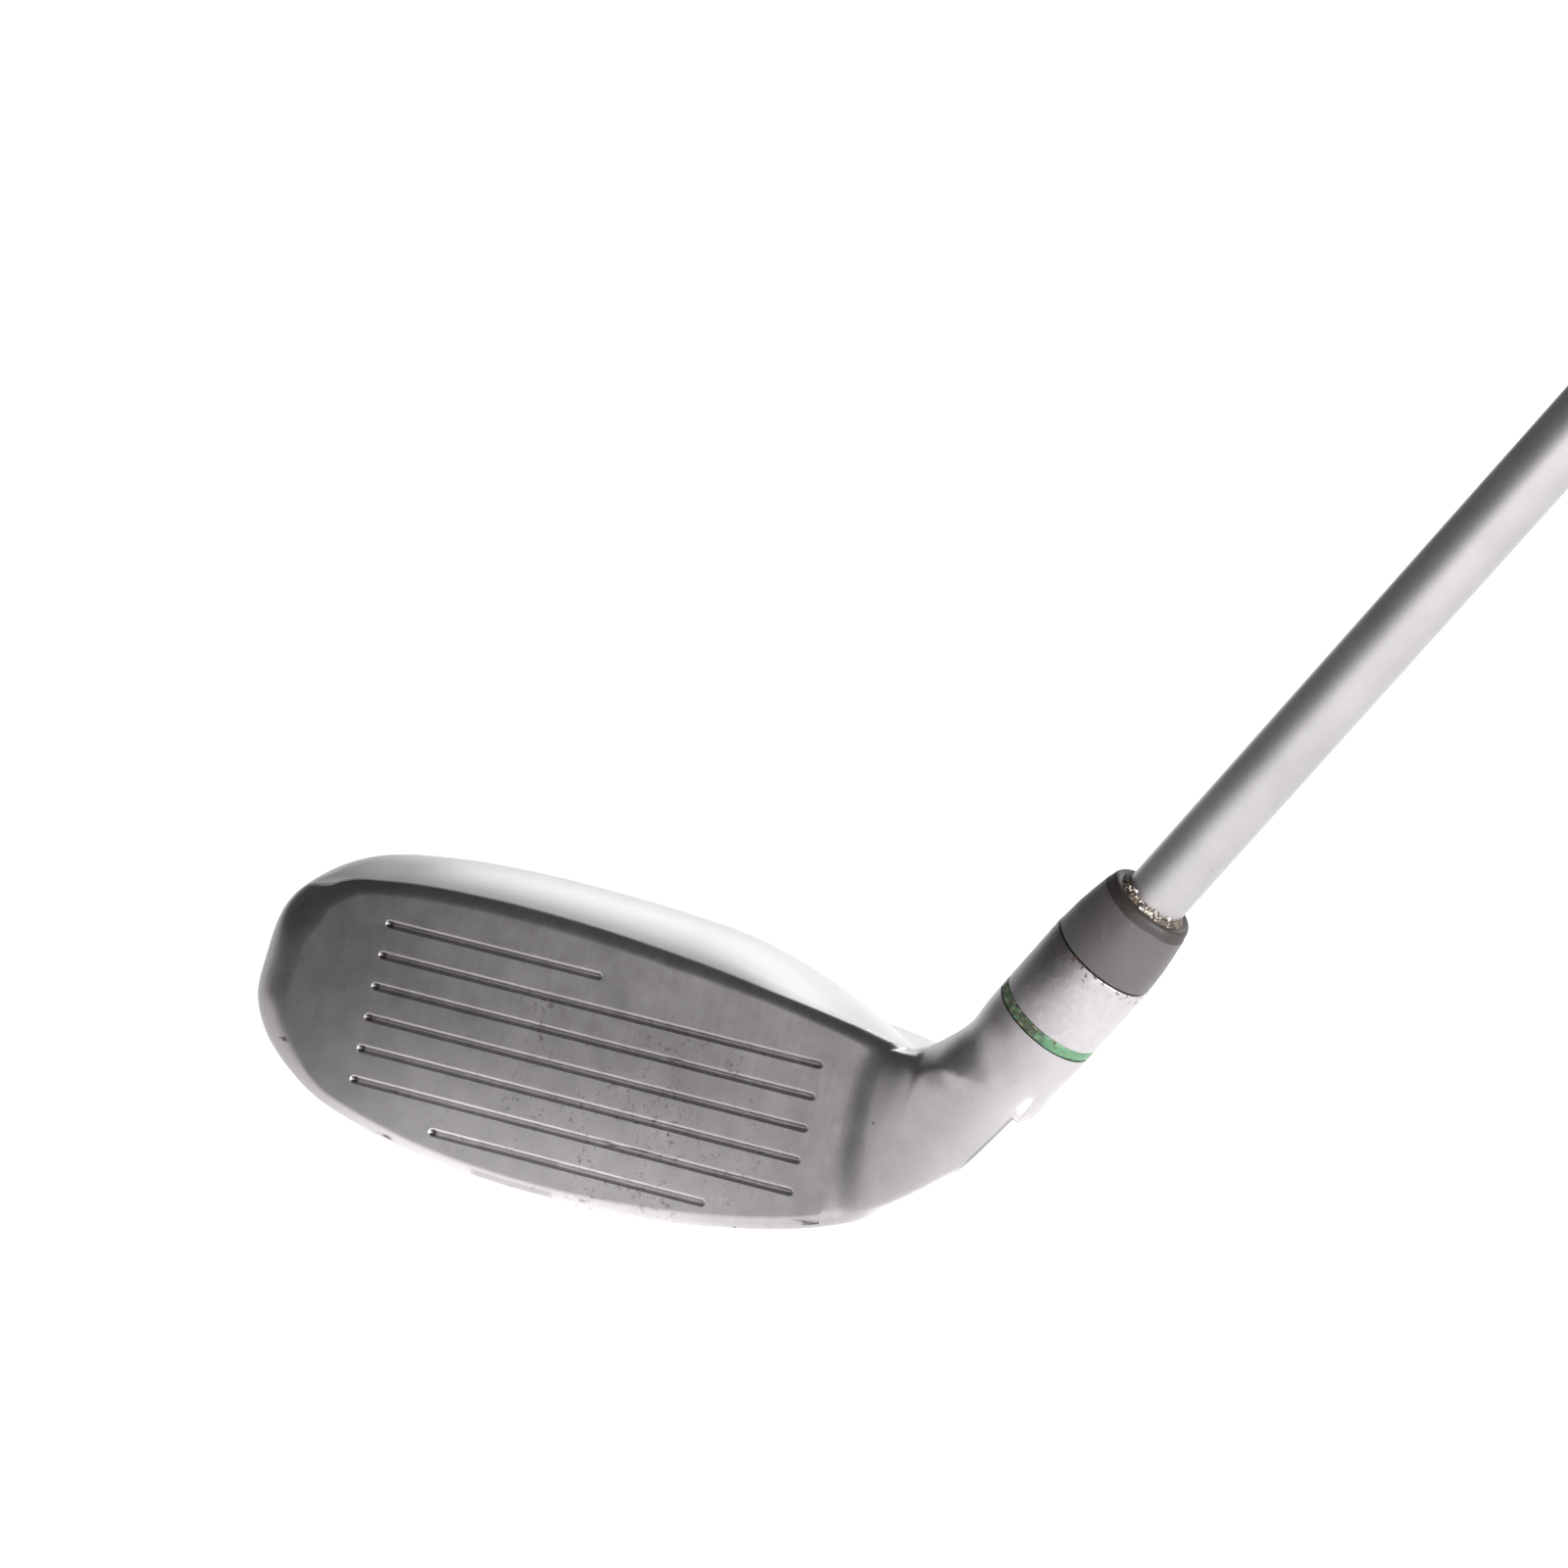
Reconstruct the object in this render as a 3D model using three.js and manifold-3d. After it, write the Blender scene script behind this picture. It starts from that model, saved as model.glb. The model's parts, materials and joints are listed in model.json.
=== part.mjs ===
// Hybrid golf club, right-handed, standing at address.
// Millimetres. +Z is up, the face looks toward -Y, the toe points to -X and the shaft rises toward +X.
// The origin is where the sole touches the ground, under the middle of the face.
import * as THREE from 'three';
import { mergeVertices } from 'three/addons/utils/BufferGeometryUtils.js';
import { ConvexGeometry } from 'three/addons/geometries/ConvexGeometry.js';
import Module from 'manifold-3d';

const wasm = await Module();
wasm.setup();

// ---------- driving dimensions ----------
const LOFT = 19;                // degrees the face leans back
const LIE = 60.7;               // degrees between the shaft and the ground
const CLUB_LENGTH = 1010;       // along the shaft axis, ground to butt
const GAP = 0.3;                // clearance between cut neighbours
const FIT = 0.1;                // clearance between pieces turned about the shaft axis

const FACE_Y = -12;             // middle of the face
const FACE_Z = 19;
const AXIS_X = 38.1;            // where the shaft axis meets the ground
const AXIS_Y = -13;

const REAR_X = 1;               // rearmost point of the head
const REAR_Y = 40;
const REAR_Z = 14;
const SEAM_TILT = 15;           // degrees the crown seam leans back
const SEAM_Y = -14;             // a point on the crown seam
const SEAM_Z = 31;
const WALL = 1.8;
const PLATE_THICKNESS = 2.6;
const PLATE_INSET = 1.3;        // steel rim left round the face plate
const PLATE_HEEL = 38;          // the plate stops here, where the casting turns into the neck

const GROOVE_PITCH = 4.43;
const GROOVE_WIDTH = 0.9;
const GROOVE_DEPTH = 0.5;
const GROOVE_HALF = 31.9;       // half length of a full score line

const HOSEL_RADIUS = 7.5;
const HOSEL_TOP = 62;           // distances along the axis from the ground
const RIM_CHAMFER = 0.4;        // at the hosel's mouth
const BORE_DEPTH = 34;
const BAND_CENTRE = 50.3;
const BAND_WIDTH = 1.7;
const BAND_DEPTH = 0.8;
const FERRULE_LENGTH = 10.3;
const FERRULE_TOP_RADIUS = 6.1;

const TIP_RADIUS = 4.25;        // 0.335 inch parallel tip
const BUTT_RADIUS = 7.6;        // 0.600 inch butt
const TUBE_WALL = 0.45;
const FIRST_STEP = 260;         // above the tip
const STEP_COUNT = 16;
const STEP_PITCH = 38.1;

const GRIP_LENGTH = 267;
const GRIP_MOUTH_RADIUS = 8.9;
const GRIP_BUTT_RADIUS = 13.2;
const CAP_RADIUS = 13.9;
const CAP_THICKNESS = 4;
const TAPE = 0.2;
const VENT_RADIUS = 2;
const FAR = 300;                // side of the big blocks used only for cutting

const ROUND = 32;               // sides of every turned piece

// ---------- materials ----------
const steel = new THREE.MeshStandardMaterial({ color: 0xa9a5a4, roughness: 0.42, metalness: 1 });
const faceSteel = new THREE.MeshStandardMaterial({ color: 0x8d888a, roughness: 0.5, metalness: 1 });
const paint = new THREE.MeshStandardMaterial({ color: 0xf4f4f2, roughness: 0.18, metalness: 0 });
const green = new THREE.MeshStandardMaterial({ color: 0x8fb394, roughness: 0.5, metalness: 0 });
const greyPlastic = new THREE.MeshStandardMaterial({ color: 0x757072, roughness: 0.4, metalness: 0 });
const shaftSteel = new THREE.MeshStandardMaterial({ color: 0xc4c3c2, roughness: 0.35, metalness: 1 });
const glue = new THREE.MeshStandardMaterial({ color: 0x8a7f6a, roughness: 0.6, metalness: 0 });
const brass = new THREE.MeshStandardMaterial({ color: 0xb08d4a, roughness: 0.4, metalness: 1 });
const tapePaper = new THREE.MeshStandardMaterial({ color: 0xd8cfae, roughness: 0.9, metalness: 0 });
const rubber = new THREE.MeshStandardMaterial({ color: 0x1c1c1d, roughness: 0.85, metalness: 0 });

// ---------- helpers ----------
const rad = THREE.MathUtils.degToRad;
const club = new THREE.Group();

// The shaft group has its own +Z along the shaft, starting at the ground.
const shaftLine = new THREE.Group();
shaftLine.position.set(AXIS_X, AXIS_Y, 0);
shaftLine.rotation.y = rad(90 - LIE);
club.add(shaftLine);

function addMesh(group, name, geometry, material) {
  const mesh = new THREE.Mesh(geometry, material);
  mesh.name = name;
  group.add(mesh);
  return mesh;
}

// A closed turned solid from [radius, height] pairs, about +Z.
function turned(profile) {
  const points = profile.map(([r, z]) => new THREE.Vector2(r, z));
  return new THREE.LatheGeometry(points, ROUND).rotateX(Math.PI / 2);
}

// A turned ring or tube: the profile closes on itself.
const ring = (profile) => turned([...profile, profile[0]]);

function toSolid(geometry) {
  const bare = geometry.clone();
  bare.deleteAttribute('normal');
  bare.deleteAttribute('uv');
  const merged = mergeVertices(bare, 1e-4);
  const solid = new wasm.Manifold(new wasm.Mesh({
    numProp: 3,
    vertProperties: new Float32Array(merged.attributes.position.array),
    triVerts: new Uint32Array(merged.index.array),
  }));
  return solid.volume() < 0 ? toSolid(flip(geometry)) : solid;
}

function flip(geometry) {
  const turnedOver = geometry.index ? geometry.toNonIndexed() : geometry.clone();
  const p = turnedOver.attributes.position;
  for (let i = 0; i < p.count; i += 3) {
    const a = [p.getX(i), p.getY(i), p.getZ(i)];
    p.setXYZ(i, p.getX(i + 1), p.getY(i + 1), p.getZ(i + 1));
    p.setXYZ(i + 1, ...a);
  }
  return turnedOver;
}

function toGeometry(solid) {
  const mesh = solid.getMesh();
  const geometry = new THREE.BufferGeometry();
  geometry.setAttribute('position', new THREE.BufferAttribute(new Float32Array(mesh.vertProperties), 3));
  geometry.setIndex(new THREE.BufferAttribute(new Uint32Array(mesh.triVerts), 1));
  return geometry;
}

// Shaft-line geometry put in place in the club's own frame.
shaftLine.updateMatrixWorld(true);
const onShaft = (geometry) => geometry.clone().applyMatrix4(shaftLine.matrixWorld);

// ---------- head surface ----------
// A point of the face plane: u toward the heel, v up the face, w out of the face.
function facePoint(u, v, w = 0) {
  const c = Math.cos(rad(LOFT));
  const s = Math.sin(rad(LOFT));
  return new THREE.Vector3(u, FACE_Y + v * s - w * c, FACE_Z + v * c + w * s);
}

// Outline of the head in the face plane, toe tip first, along the top line to the heel and back by the sole.
const OUTLINE = [
  [-50.3, 2.6], [-48.9, 10.4], [-43.4, 15.8], [-33, 18.3], [-20, 19.2], [-4, 18.9], [12, 17.6], [28, 16],
  [44, 14.8], [53, 13.5], [57, 8.5], [54.3, 0.5], [47, -8.1], [37, -13.2], [20, -17.2], [0, -18.9],
  [-18, -18], [-32, -15.1], [-41.2, -11.7], [-47.3, -7.6], [-50.2, -2.6],
];
const outlineCurve = new THREE.CatmullRomCurve3(
  OUTLINE.map(([u, v]) => new THREE.Vector3(u, v, 0)), true, 'centripetal');

// How the section shrinks from the face (q = 0) to the rear (q = 1).
const REAR_FULLNESS = 0.34;
const SOLE_DIP = 2.3;           // how far the sole sags between face and rear
const CROWN_RISE = 1.7;         // how far the crown bulges between top line and rear
const HEEL_FALL = 8.6;          // how far that bulge turns into a hollow at the heel
const FALL_START = 8;
const FALL_RUN = 34;
const HALF_WIDTH = 50;          // of the outline, to turn a wall thickness into a share
const HALF_HEIGHT = 18;
const clamp = THREE.MathUtils.clamp;
const widthLeft = (q) => (1 - q ** 2.5) ** 0.4;
const roundBack = (q) => Math.sqrt(1 - q ** 6);
const crownLeft = (q) => (1 - REAR_FULLNESS) * (1 - q ** 1.8) + REAR_FULLNESS * roundBack(q);
const soleLeft = (q) => (1 - REAR_FULLNESS) * (1 - q ** 2.6) + REAR_FULLNESS * roundBack(q);
const sag = (q) => (27 / 4) * q * (1 - q) ** 2;       // reaches 1 a third of the way back
const bulge = (q) => (4 * q * (1 - q)) ** 0.8;        // reaches 1 half way back

// One point of the head's skin. inset pulls it in by a wall thickness, and forward moves its front plane.
function headPoint(t, q, inset = 0, forward = 0) {
  const o = outlineCurve.getPointAt(t);
  const front = facePoint(o.x * (1 - inset / HALF_WIDTH), o.y * (1 - inset / HALF_HEIGHT), forward);
  const height = front.z - REAR_Z;
  const left = height > 0 ? crownLeft(q) : soleLeft(q);
  const low = Math.max(0, -height / REAR_Z);
  const dip = inset > 0 ? 0 : SOLE_DIP * sag(q) * low ** 2;
  const heel = clamp((o.x - FALL_START) / FALL_RUN, 0, 1) ** 2;
  const high = THREE.MathUtils.smoothstep(height, 0, REAR_Z);
  const dome = (CROWN_RISE - HEEL_FALL * heel) * bulge(q) * high;
  return new THREE.Vector3(
    REAR_X + (front.x - REAR_X) * widthLeft(q),
    front.y + (REAR_Y - inset - front.y) * q,
    REAR_Z + height * left - dip + dome);
}

function headShape(inset, forward, around = 64, deep = 14) {
  const positions = [];
  const index = [];
  for (let j = 0; j < deep; j += 1) {
    const q = Math.sin((j / deep) * (Math.PI / 2));
    for (let i = 0; i < around; i += 1) positions.push(...headPoint(i / around, q, inset, forward).toArray());
  }
  const rear = headPoint(0, 1, inset, forward);
  const frontCentre = facePoint(0, 0, forward);
  positions.push(...rear.toArray(), ...frontCentre.toArray());
  const rearIndex = around * deep;
  for (let i = 0; i < around; i += 1) {
    const next = (i + 1) % around;
    for (let j = 0; j < deep - 1; j += 1) {
      const a = j * around + i;
      const b = j * around + next;
      index.push(a, b, a + around, b, b + around, a + around);
    }
    const last = (deep - 1) * around;
    index.push(last + i, last + next, rearIndex, next, i, rearIndex + 1);
  }
  const geometry = new THREE.BufferGeometry();
  geometry.setAttribute('position', new THREE.BufferAttribute(new Float32Array(positions), 3));
  geometry.setIndex(index);
  return geometry;
}

// A big block whose lower face is the tilted crown seam; drop moves the seam down.
function aboveSeam(drop) {
  const block = new THREE.BoxGeometry(FAR, FAR, FAR).translate(0, 0, FAR / 2);
  block.rotateX(-rad(SEAM_TILT));
  return block.translate(0, SEAM_Y, SEAM_Z - drop);
}

// ---------- casting ----------
const outer = toSolid(headShape(0, 0));
const behindPlate = toSolid(headShape(WALL, -PLATE_THICKNESS));
const OPEN_FRONT = 4;           // how far the face opening runs past the face
const throughFace = toSolid(headShape(WALL, OPEN_FRONT));
const CROWN_HEEL = 40;          // the crown shell stops here, and the casting goes on to the neck
const CAVITY_HEEL = 47;
const CLEAR_TOP = HOSEL_TOP + 8;
const SHEATH_FOOT = 15;
const beyond = (x) => toSolid(new THREE.BoxGeometry(FAR, FAR, FAR).translate(x + FAR / 2, 0, 0));
// A plain round rod on the shaft line.
const rod = (radius, low, high) => toSolid(onShaft(
  turned([[0, low], [radius, low], [radius, high], [0, high]])));
const neckSheath = rod(HOSEL_RADIUS - 1, SHEATH_FOOT, CLEAR_TOP);
const mouth = throughFace.subtract(beyond(PLATE_HEEL - 2));
const cavity = behindPlate.subtract(beyond(CAVITY_HEEL)).add(mouth).subtract(neckSheath);
const belowGround = toSolid(new THREE.BoxGeometry(FAR, FAR, FAR).translate(0, 0, -FAR / 2));

const NECK_FOOT = 42;           // the straight hosel starts here; below it the neck spreads into the head
const NECK_ROOT = 30;
const NECK_START = 42;
const SPREAD_DEPTHS = [0.01, 0.1, 0.2, 0.3];
function neckSpread() {
  const points = [];
  for (let i = 0; i < ROUND; i += 1) {
    const a = (i / ROUND) * 2 * Math.PI;
    for (const [r, z] of [[HOSEL_RADIUS, NECK_FOOT], [HOSEL_RADIUS, NECK_ROOT]]) {
      const p = new THREE.Vector3(r * Math.cos(a), r * Math.sin(a), z);
      points.push(p.applyMatrix4(shaftLine.matrixWorld));
    }
  }
  for (let i = 0; i < 64; i += 1) {
    for (const q of SPREAD_DEPTHS) {
      const p = headPoint(i / 64, q, 0.2);
      if (p.x > NECK_START) points.push(p);
    }
  }
  return new ConvexGeometry(points);
}

const hoselGeometry = turned([[0, NECK_ROOT], [HOSEL_RADIUS - 1, NECK_ROOT], [HOSEL_RADIUS, NECK_ROOT + 4],
  [HOSEL_RADIUS, HOSEL_TOP - RIM_CHAMFER], [HOSEL_RADIUS - RIM_CHAMFER, HOSEL_TOP], [0, HOSEL_TOP]]);
const hosel = toSolid(onShaft(hoselGeometry));
const neck = hosel.add(toSolid(neckSpread()));
const neckClear = rod(HOSEL_RADIUS + 1.5, SHEATH_FOOT + 5, CLEAR_TOP);

const GLUE_WALL = 0.25;
const BORE_RADIUS = TIP_RADIUS + 2 * FIT + GLUE_WALL;
const bore = rod(BORE_RADIUS, HOSEL_TOP - BORE_DEPTH, CLEAR_TOP);
const bandLow = BAND_CENTRE - BAND_WIDTH / 2;
const bandHigh = BAND_CENTRE + BAND_WIDTH / 2;
const bandFloor = HOSEL_RADIUS - BAND_DEPTH;
const bandGroove = toSolid(onShaft(ring([[bandFloor, bandLow - FIT], [HOSEL_RADIUS + 1, bandLow - FIT],
  [HOSEL_RADIUS + 1, bandHigh + FIT], [bandFloor, bandHigh + FIT]])));

// The face plate and the recess it sits in.
function plateShape(inset, back, front) {
  const shape = new THREE.Shape();
  const steps = 64;
  for (let i = 0; i < steps; i += 1) {
    const o = outlineCurve.getPointAt(i / steps);
    const u = Math.min(o.x * (1 - inset / HALF_WIDTH), PLATE_HEEL - inset + PLATE_INSET);
    const v = o.y * (1 - inset / HALF_HEIGHT);
    if (i === 0) shape.moveTo(u, v);
    else shape.lineTo(u, v);
  }
  shape.closePath();
  const geometry = new THREE.ExtrudeGeometry(shape, { depth: front + back, bevelEnabled: false });
  geometry.translate(0, 0, -back);
  geometry.rotateX(rad(90 - LOFT));
  return geometry.translate(0, FACE_Y, FACE_Z);
}

function scoreLine(from, to, v) {
  const r = GROOVE_WIDTH / 2;
  const shape = new THREE.Shape();
  shape.moveTo(from + r, v - r);
  shape.lineTo(to - r, v - r);
  shape.absarc(to - r, v, r, -Math.PI / 2, Math.PI / 2, false);
  shape.lineTo(from + r, v + r);
  shape.absarc(from + r, v, r, Math.PI / 2, 1.5 * Math.PI, false);
  const options = { depth: GROOVE_DEPTH + 1, bevelEnabled: false, curveSegments: 6 };
  const geometry = new THREE.ExtrudeGeometry(shape, options);
  geometry.translate(0, 0, -GROOVE_DEPTH);
  geometry.rotateX(rad(90 - LOFT));
  return geometry.translate(0, FACE_Y, FACE_Z);
}

// Ends of each score line, from the top of the face down. The top one is half length, the lowest is short.
const fullLine = [-GROOVE_HALF, GROOVE_HALF];
const LINE_ENDS = [[-GROOVE_HALF, -1], ...Array(5).fill(fullLine), [-19.1, 20.3]];
let plate = toSolid(plateShape(PLATE_INSET, PLATE_THICKNESS, 0));
LINE_ENDS.forEach(([from, to], line) => {
  plate = plate.subtract(toSolid(scoreLine(from, to, (3 - line) * GROOVE_PITCH)));
});
const plateRecess = toSolid(plateShape(PLATE_INSET - GAP, PLATE_THICKNESS + GAP, OPEN_FRONT));

// Filling port in the sole, with a boss inside for its thread.
const PORT_X = 0;
const PORT_Y = 20;
const PORT_RADIUS = 3;
const BOSS_HEIGHT = 5;
const BOSS_WALL = 2.2;
const SCREW_LENGTH = 4.4;
const SCREW_SUNK = 0.5;

// Height of the sole's skin at a place in plan.
function soleHeight(x, y) {
  const seen = { distance: Infinity, z: 0 };
  for (let i = 0; i < 200; i += 1) {
    for (let q = 0.2; q < 1; q += 0.01) {
      const p = headPoint(i / 200, q);
      const distance = Math.hypot(p.x - x, p.y - y);
      if (p.z < REAR_Z && distance < seen.distance) Object.assign(seen, { distance, z: p.z });
    }
  }
  return seen.z;
}
const portSkin = soleHeight(PORT_X, PORT_Y);
function upright(radius, length, sides, middle) {
  const geometry = new THREE.CylinderGeometry(radius, radius, length, sides).rotateX(Math.PI / 2);
  return toSolid(geometry.translate(PORT_X, PORT_Y, middle));
}
const portHole = upright(PORT_RADIUS + GAP, 40, ROUND, 0);
const portBoss = upright(PORT_RADIUS + BOSS_WALL, BOSS_HEIGHT, ROUND, portSkin + BOSS_HEIGHT / 2);

const shell = outer.subtract(cavity);
const lowerShell = shell.subtract(toSolid(aboveSeam(GAP)).subtract(beyond(CROWN_HEEL + GAP)));
const boss = portBoss.intersect(outer);
const casting = lowerShell.add(boss).add(neck.subtract(cavity)).subtract(belowGround);
const body = casting.subtract(plateRecess).subtract(portHole).subtract(bore).subtract(bandGroove);
addMesh(club, 'head_body', toGeometry(body), steel);
addMesh(club, 'face_plate', toGeometry(plate), faceSteel);

const crown = shell.intersect(toSolid(aboveSeam(0))).subtract(beyond(CROWN_HEEL))
  .subtract(neckClear).subtract(plateRecess);
addMesh(club, 'crown', toGeometry(crown), paint);

// Port screw, sunk a little under the skin, and the glue dab poured in through its hole.
const screwLow = portSkin + SCREW_SUNK;
const SOCKET_RADIUS = 1.4;
const SOCKET_DEPTH = 2;
const screwSlug = upright(PORT_RADIUS, SCREW_LENGTH, ROUND, screwLow + SCREW_LENGTH / 2);
const screwSocket = upright(SOCKET_RADIUS, 2 * SOCKET_DEPTH, 6, screwLow);
addMesh(club, 'port_screw', toGeometry(screwSlug.subtract(screwSocket)), steel);

const DAB_RADIUS = 8;
const DAB_X = -15;
const DAB_Y = 12;
const DAB_FLATNESS = 0.3;
const dab = new THREE.SphereGeometry(DAB_RADIUS, 20, 12).scale(1, 1, DAB_FLATNESS);
dab.translate(DAB_X, DAB_Y, soleHeight(DAB_X, DAB_Y) + WALL + (DAB_FLATNESS + 0.1) * DAB_RADIUS);
addMesh(club, 'hot_melt', dab, glue);

// ---------- pieces on the shaft line ----------
const bandInner = HOSEL_RADIUS - BAND_DEPTH + FIT;
addMesh(shaftLine, 'hosel_band', ring([[bandInner, bandLow], [HOSEL_RADIUS, bandLow],
  [HOSEL_RADIUS, bandHigh], [bandInner, bandHigh]]), green);

const ferruleBase = HOSEL_TOP + FIT;
const ferruleTop = HOSEL_TOP + FERRULE_LENGTH;
const ferruleBore = TIP_RADIUS + FIT;
addMesh(shaftLine, 'ferrule', ring([[ferruleBore, ferruleBase], [HOSEL_RADIUS - 0.05, ferruleBase],
  [HOSEL_RADIUS - 0.2, ferruleBase + 4], [FERRULE_TOP_RADIUS + 0.4, ferruleTop - 1],
  [FERRULE_TOP_RADIUS - 0.1, ferruleTop], [ferruleBore, ferruleTop]]), greyPlastic);

const tipEnd = HOSEL_TOP - BORE_DEPTH + 1.5;
addMesh(shaftLine, 'hosel_epoxy', ring([[TIP_RADIUS + FIT, tipEnd], [BORE_RADIUS - FIT, tipEnd],
  [BORE_RADIUS - FIT, HOSEL_TOP - 0.5], [TIP_RADIUS + FIT, HOSEL_TOP - 0.5]]), glue);

const shaftEnd = CLUB_LENGTH - CAP_THICKNESS - 1;
function shaftProfile() {
  const stepRise = (BUTT_RADIUS - TIP_RADIUS) / STEP_COUNT;
  const outside = [[TIP_RADIUS, tipEnd]];
  for (let i = 0; i < STEP_COUNT; i += 1) {
    const z = tipEnd + FIRST_STEP + i * STEP_PITCH;
    const r = TIP_RADIUS + i * stepRise;
    outside.push([r, z], [r + stepRise, z + 1.5]);
  }
  outside.push([BUTT_RADIUS, shaftEnd]);
  // The bore widens evenly under the steps.
  const lastStep = tipEnd + FIRST_STEP + STEP_COUNT * STEP_PITCH;
  const inside = [[BUTT_RADIUS - TUBE_WALL, shaftEnd], [BUTT_RADIUS - TUBE_WALL, lastStep],
    [TIP_RADIUS - TUBE_WALL, tipEnd + FIRST_STEP], [TIP_RADIUS - TUBE_WALL, tipEnd]];
  return [...outside, ...inside];
}
addMesh(shaftLine, 'shaft', ring(shaftProfile()), shaftSteel);

const plugRadius = TIP_RADIUS - TUBE_WALL - FIT;
const plugLow = tipEnd + 0.5;
const plugHigh = tipEnd + 22;
addMesh(shaftLine, 'tip_plug', turned([[0, plugLow], [plugRadius, plugLow],
  [plugRadius, plugHigh], [0, plugHigh]]), brass);

const gripMouth = CLUB_LENGTH - GRIP_LENGTH;
const gripTop = CLUB_LENGTH - CAP_THICKNESS;
const tapeInner = BUTT_RADIUS + FIT;
const tapeOuter = tapeInner + TAPE;
// The tape starts where the tube has reached its full butt size.
const tapeLow = Math.max(gripMouth + 6, tipEnd + FIRST_STEP + STEP_COUNT * STEP_PITCH + 4);
addMesh(shaftLine, 'grip_tape', ring([[tapeInner, tapeLow], [tapeOuter, tapeLow],
  [tapeOuter, gripTop - 4], [tapeInner, gripTop - 4]]), tapePaper);

const gripInner = tapeOuter + FIT;
addMesh(shaftLine, 'grip', ring([[gripInner, gripMouth], [GRIP_MOUTH_RADIUS, gripMouth],
  [GRIP_MOUTH_RADIUS + 0.3, gripMouth + 8], [GRIP_BUTT_RADIUS - 0.8, gripTop - 40],
  [GRIP_BUTT_RADIUS, gripTop - 10], [GRIP_BUTT_RADIUS, gripTop - FIT], [gripInner, gripTop - FIT]]), rubber);

addMesh(shaftLine, 'grip_cap', ring([[VENT_RADIUS, gripTop], [CAP_RADIUS, gripTop],
  [CAP_RADIUS, CLUB_LENGTH - 1.5], [CAP_RADIUS - 1.8, CLUB_LENGTH], [VENT_RADIUS, CLUB_LENGTH]]), rubber);

export default club;
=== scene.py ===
# %% [markdown]
# # A hybrid golf club
# This lesson builds the finished look of a used hybrid: a hollow steel head with a white
# painted crown, a scored face, a bonded ferrule and steel shaft, and a rubber grip.
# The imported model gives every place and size. Each part gets a fine mesh of its own.

# %% Load the frame
import json
import math

import bmesh
import bpy
import numpy as np
from mathutils import Matrix, Vector, geometry
from mathutils.bvhtree import BVHTree


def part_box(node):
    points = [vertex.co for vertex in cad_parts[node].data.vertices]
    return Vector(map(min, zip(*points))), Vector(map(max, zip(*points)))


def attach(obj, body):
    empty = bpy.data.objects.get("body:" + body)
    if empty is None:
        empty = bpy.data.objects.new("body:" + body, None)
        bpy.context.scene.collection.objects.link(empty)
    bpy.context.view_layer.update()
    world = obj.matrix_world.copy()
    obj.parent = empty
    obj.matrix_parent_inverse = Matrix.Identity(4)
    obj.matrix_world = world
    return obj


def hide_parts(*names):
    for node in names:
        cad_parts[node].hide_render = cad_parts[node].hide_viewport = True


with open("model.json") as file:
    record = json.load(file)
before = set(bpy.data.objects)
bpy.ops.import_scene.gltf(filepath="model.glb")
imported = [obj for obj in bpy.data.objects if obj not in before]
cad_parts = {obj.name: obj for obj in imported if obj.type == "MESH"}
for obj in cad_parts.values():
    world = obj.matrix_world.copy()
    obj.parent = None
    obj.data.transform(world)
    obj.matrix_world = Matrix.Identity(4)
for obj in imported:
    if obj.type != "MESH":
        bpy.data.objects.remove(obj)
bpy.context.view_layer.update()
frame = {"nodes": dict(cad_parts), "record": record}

MM = 0.001
print("nodes:", ", ".join(sorted(frame["nodes"])))

# %% [markdown]
# ## Two frames to measure in
# A club has two natural rulers. The face plane leans back by the loft, and is measured
# toward the heel and up the face. The shaft line is measured from the ground upward, with
# an angle round it. Every outline below is given on one of these rulers, in millimetres.

# %% The shaft line
mounts = {m["name"]: m for m in frame["record"]["mounts"]}
SHAFT_WAY = np.array(mounts["grip_hold"]["axis"])
SHAFT_WAY /= np.linalg.norm(SHAFT_WAY)
on_axis = np.array(mounts["grip_hold"]["pos_m"]) / MM
SHAFT_FOOT = on_axis - SHAFT_WAY * on_axis[2] / SHAFT_WAY[2]
OUTWARD = np.array([SHAFT_WAY[2], 0.0, -SHAFT_WAY[0]])   # square to the shaft, away from the toe
FORWARD = np.array([0.0, -1.0, 0.0])                     # the way the face looks
lie = math.degrees(math.asin(SHAFT_WAY[2]))
print("shaft meets the ground at", SHAFT_FOOT.round(1), "lie", round(lie, 1))


def on_shaft(radius, angle, along):
    """Points round the shaft line: angle 0 faces forward, a quarter turn faces outward."""
    radius, angle, along = (np.asarray(v, float)[..., None] for v in (radius, angle, along))
    around = np.cos(angle) * FORWARD + np.sin(angle) * OUTWARD
    return SHAFT_FOOT + along * SHAFT_WAY + radius * around


def shaft_ruler(points):
    """The reverse: radius, angle and distance along the shaft line of each point."""
    rel = points - SHAFT_FOOT
    along = rel @ SHAFT_WAY
    outward, forward = rel @ OUTWARD, rel @ FORWARD
    return np.hypot(outward, forward), np.arctan2(outward, forward), along


def millimetres_along(node):
    """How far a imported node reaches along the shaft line."""
    spots = np.array([v.co for v in frame["nodes"][node].data.vertices]) / MM
    along = shaft_ruler(spots)[2]
    return along.min(), along.max()


# %% The face plane
LOFT = math.radians(19)
FACE_MIDDLE = np.array([0.0, -12.0, 19.0])
FACE_UP = np.array([0.0, math.sin(LOFT), math.cos(LOFT)])
FACE_OUT = np.array([0.0, -math.cos(LOFT), math.sin(LOFT)])


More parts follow.
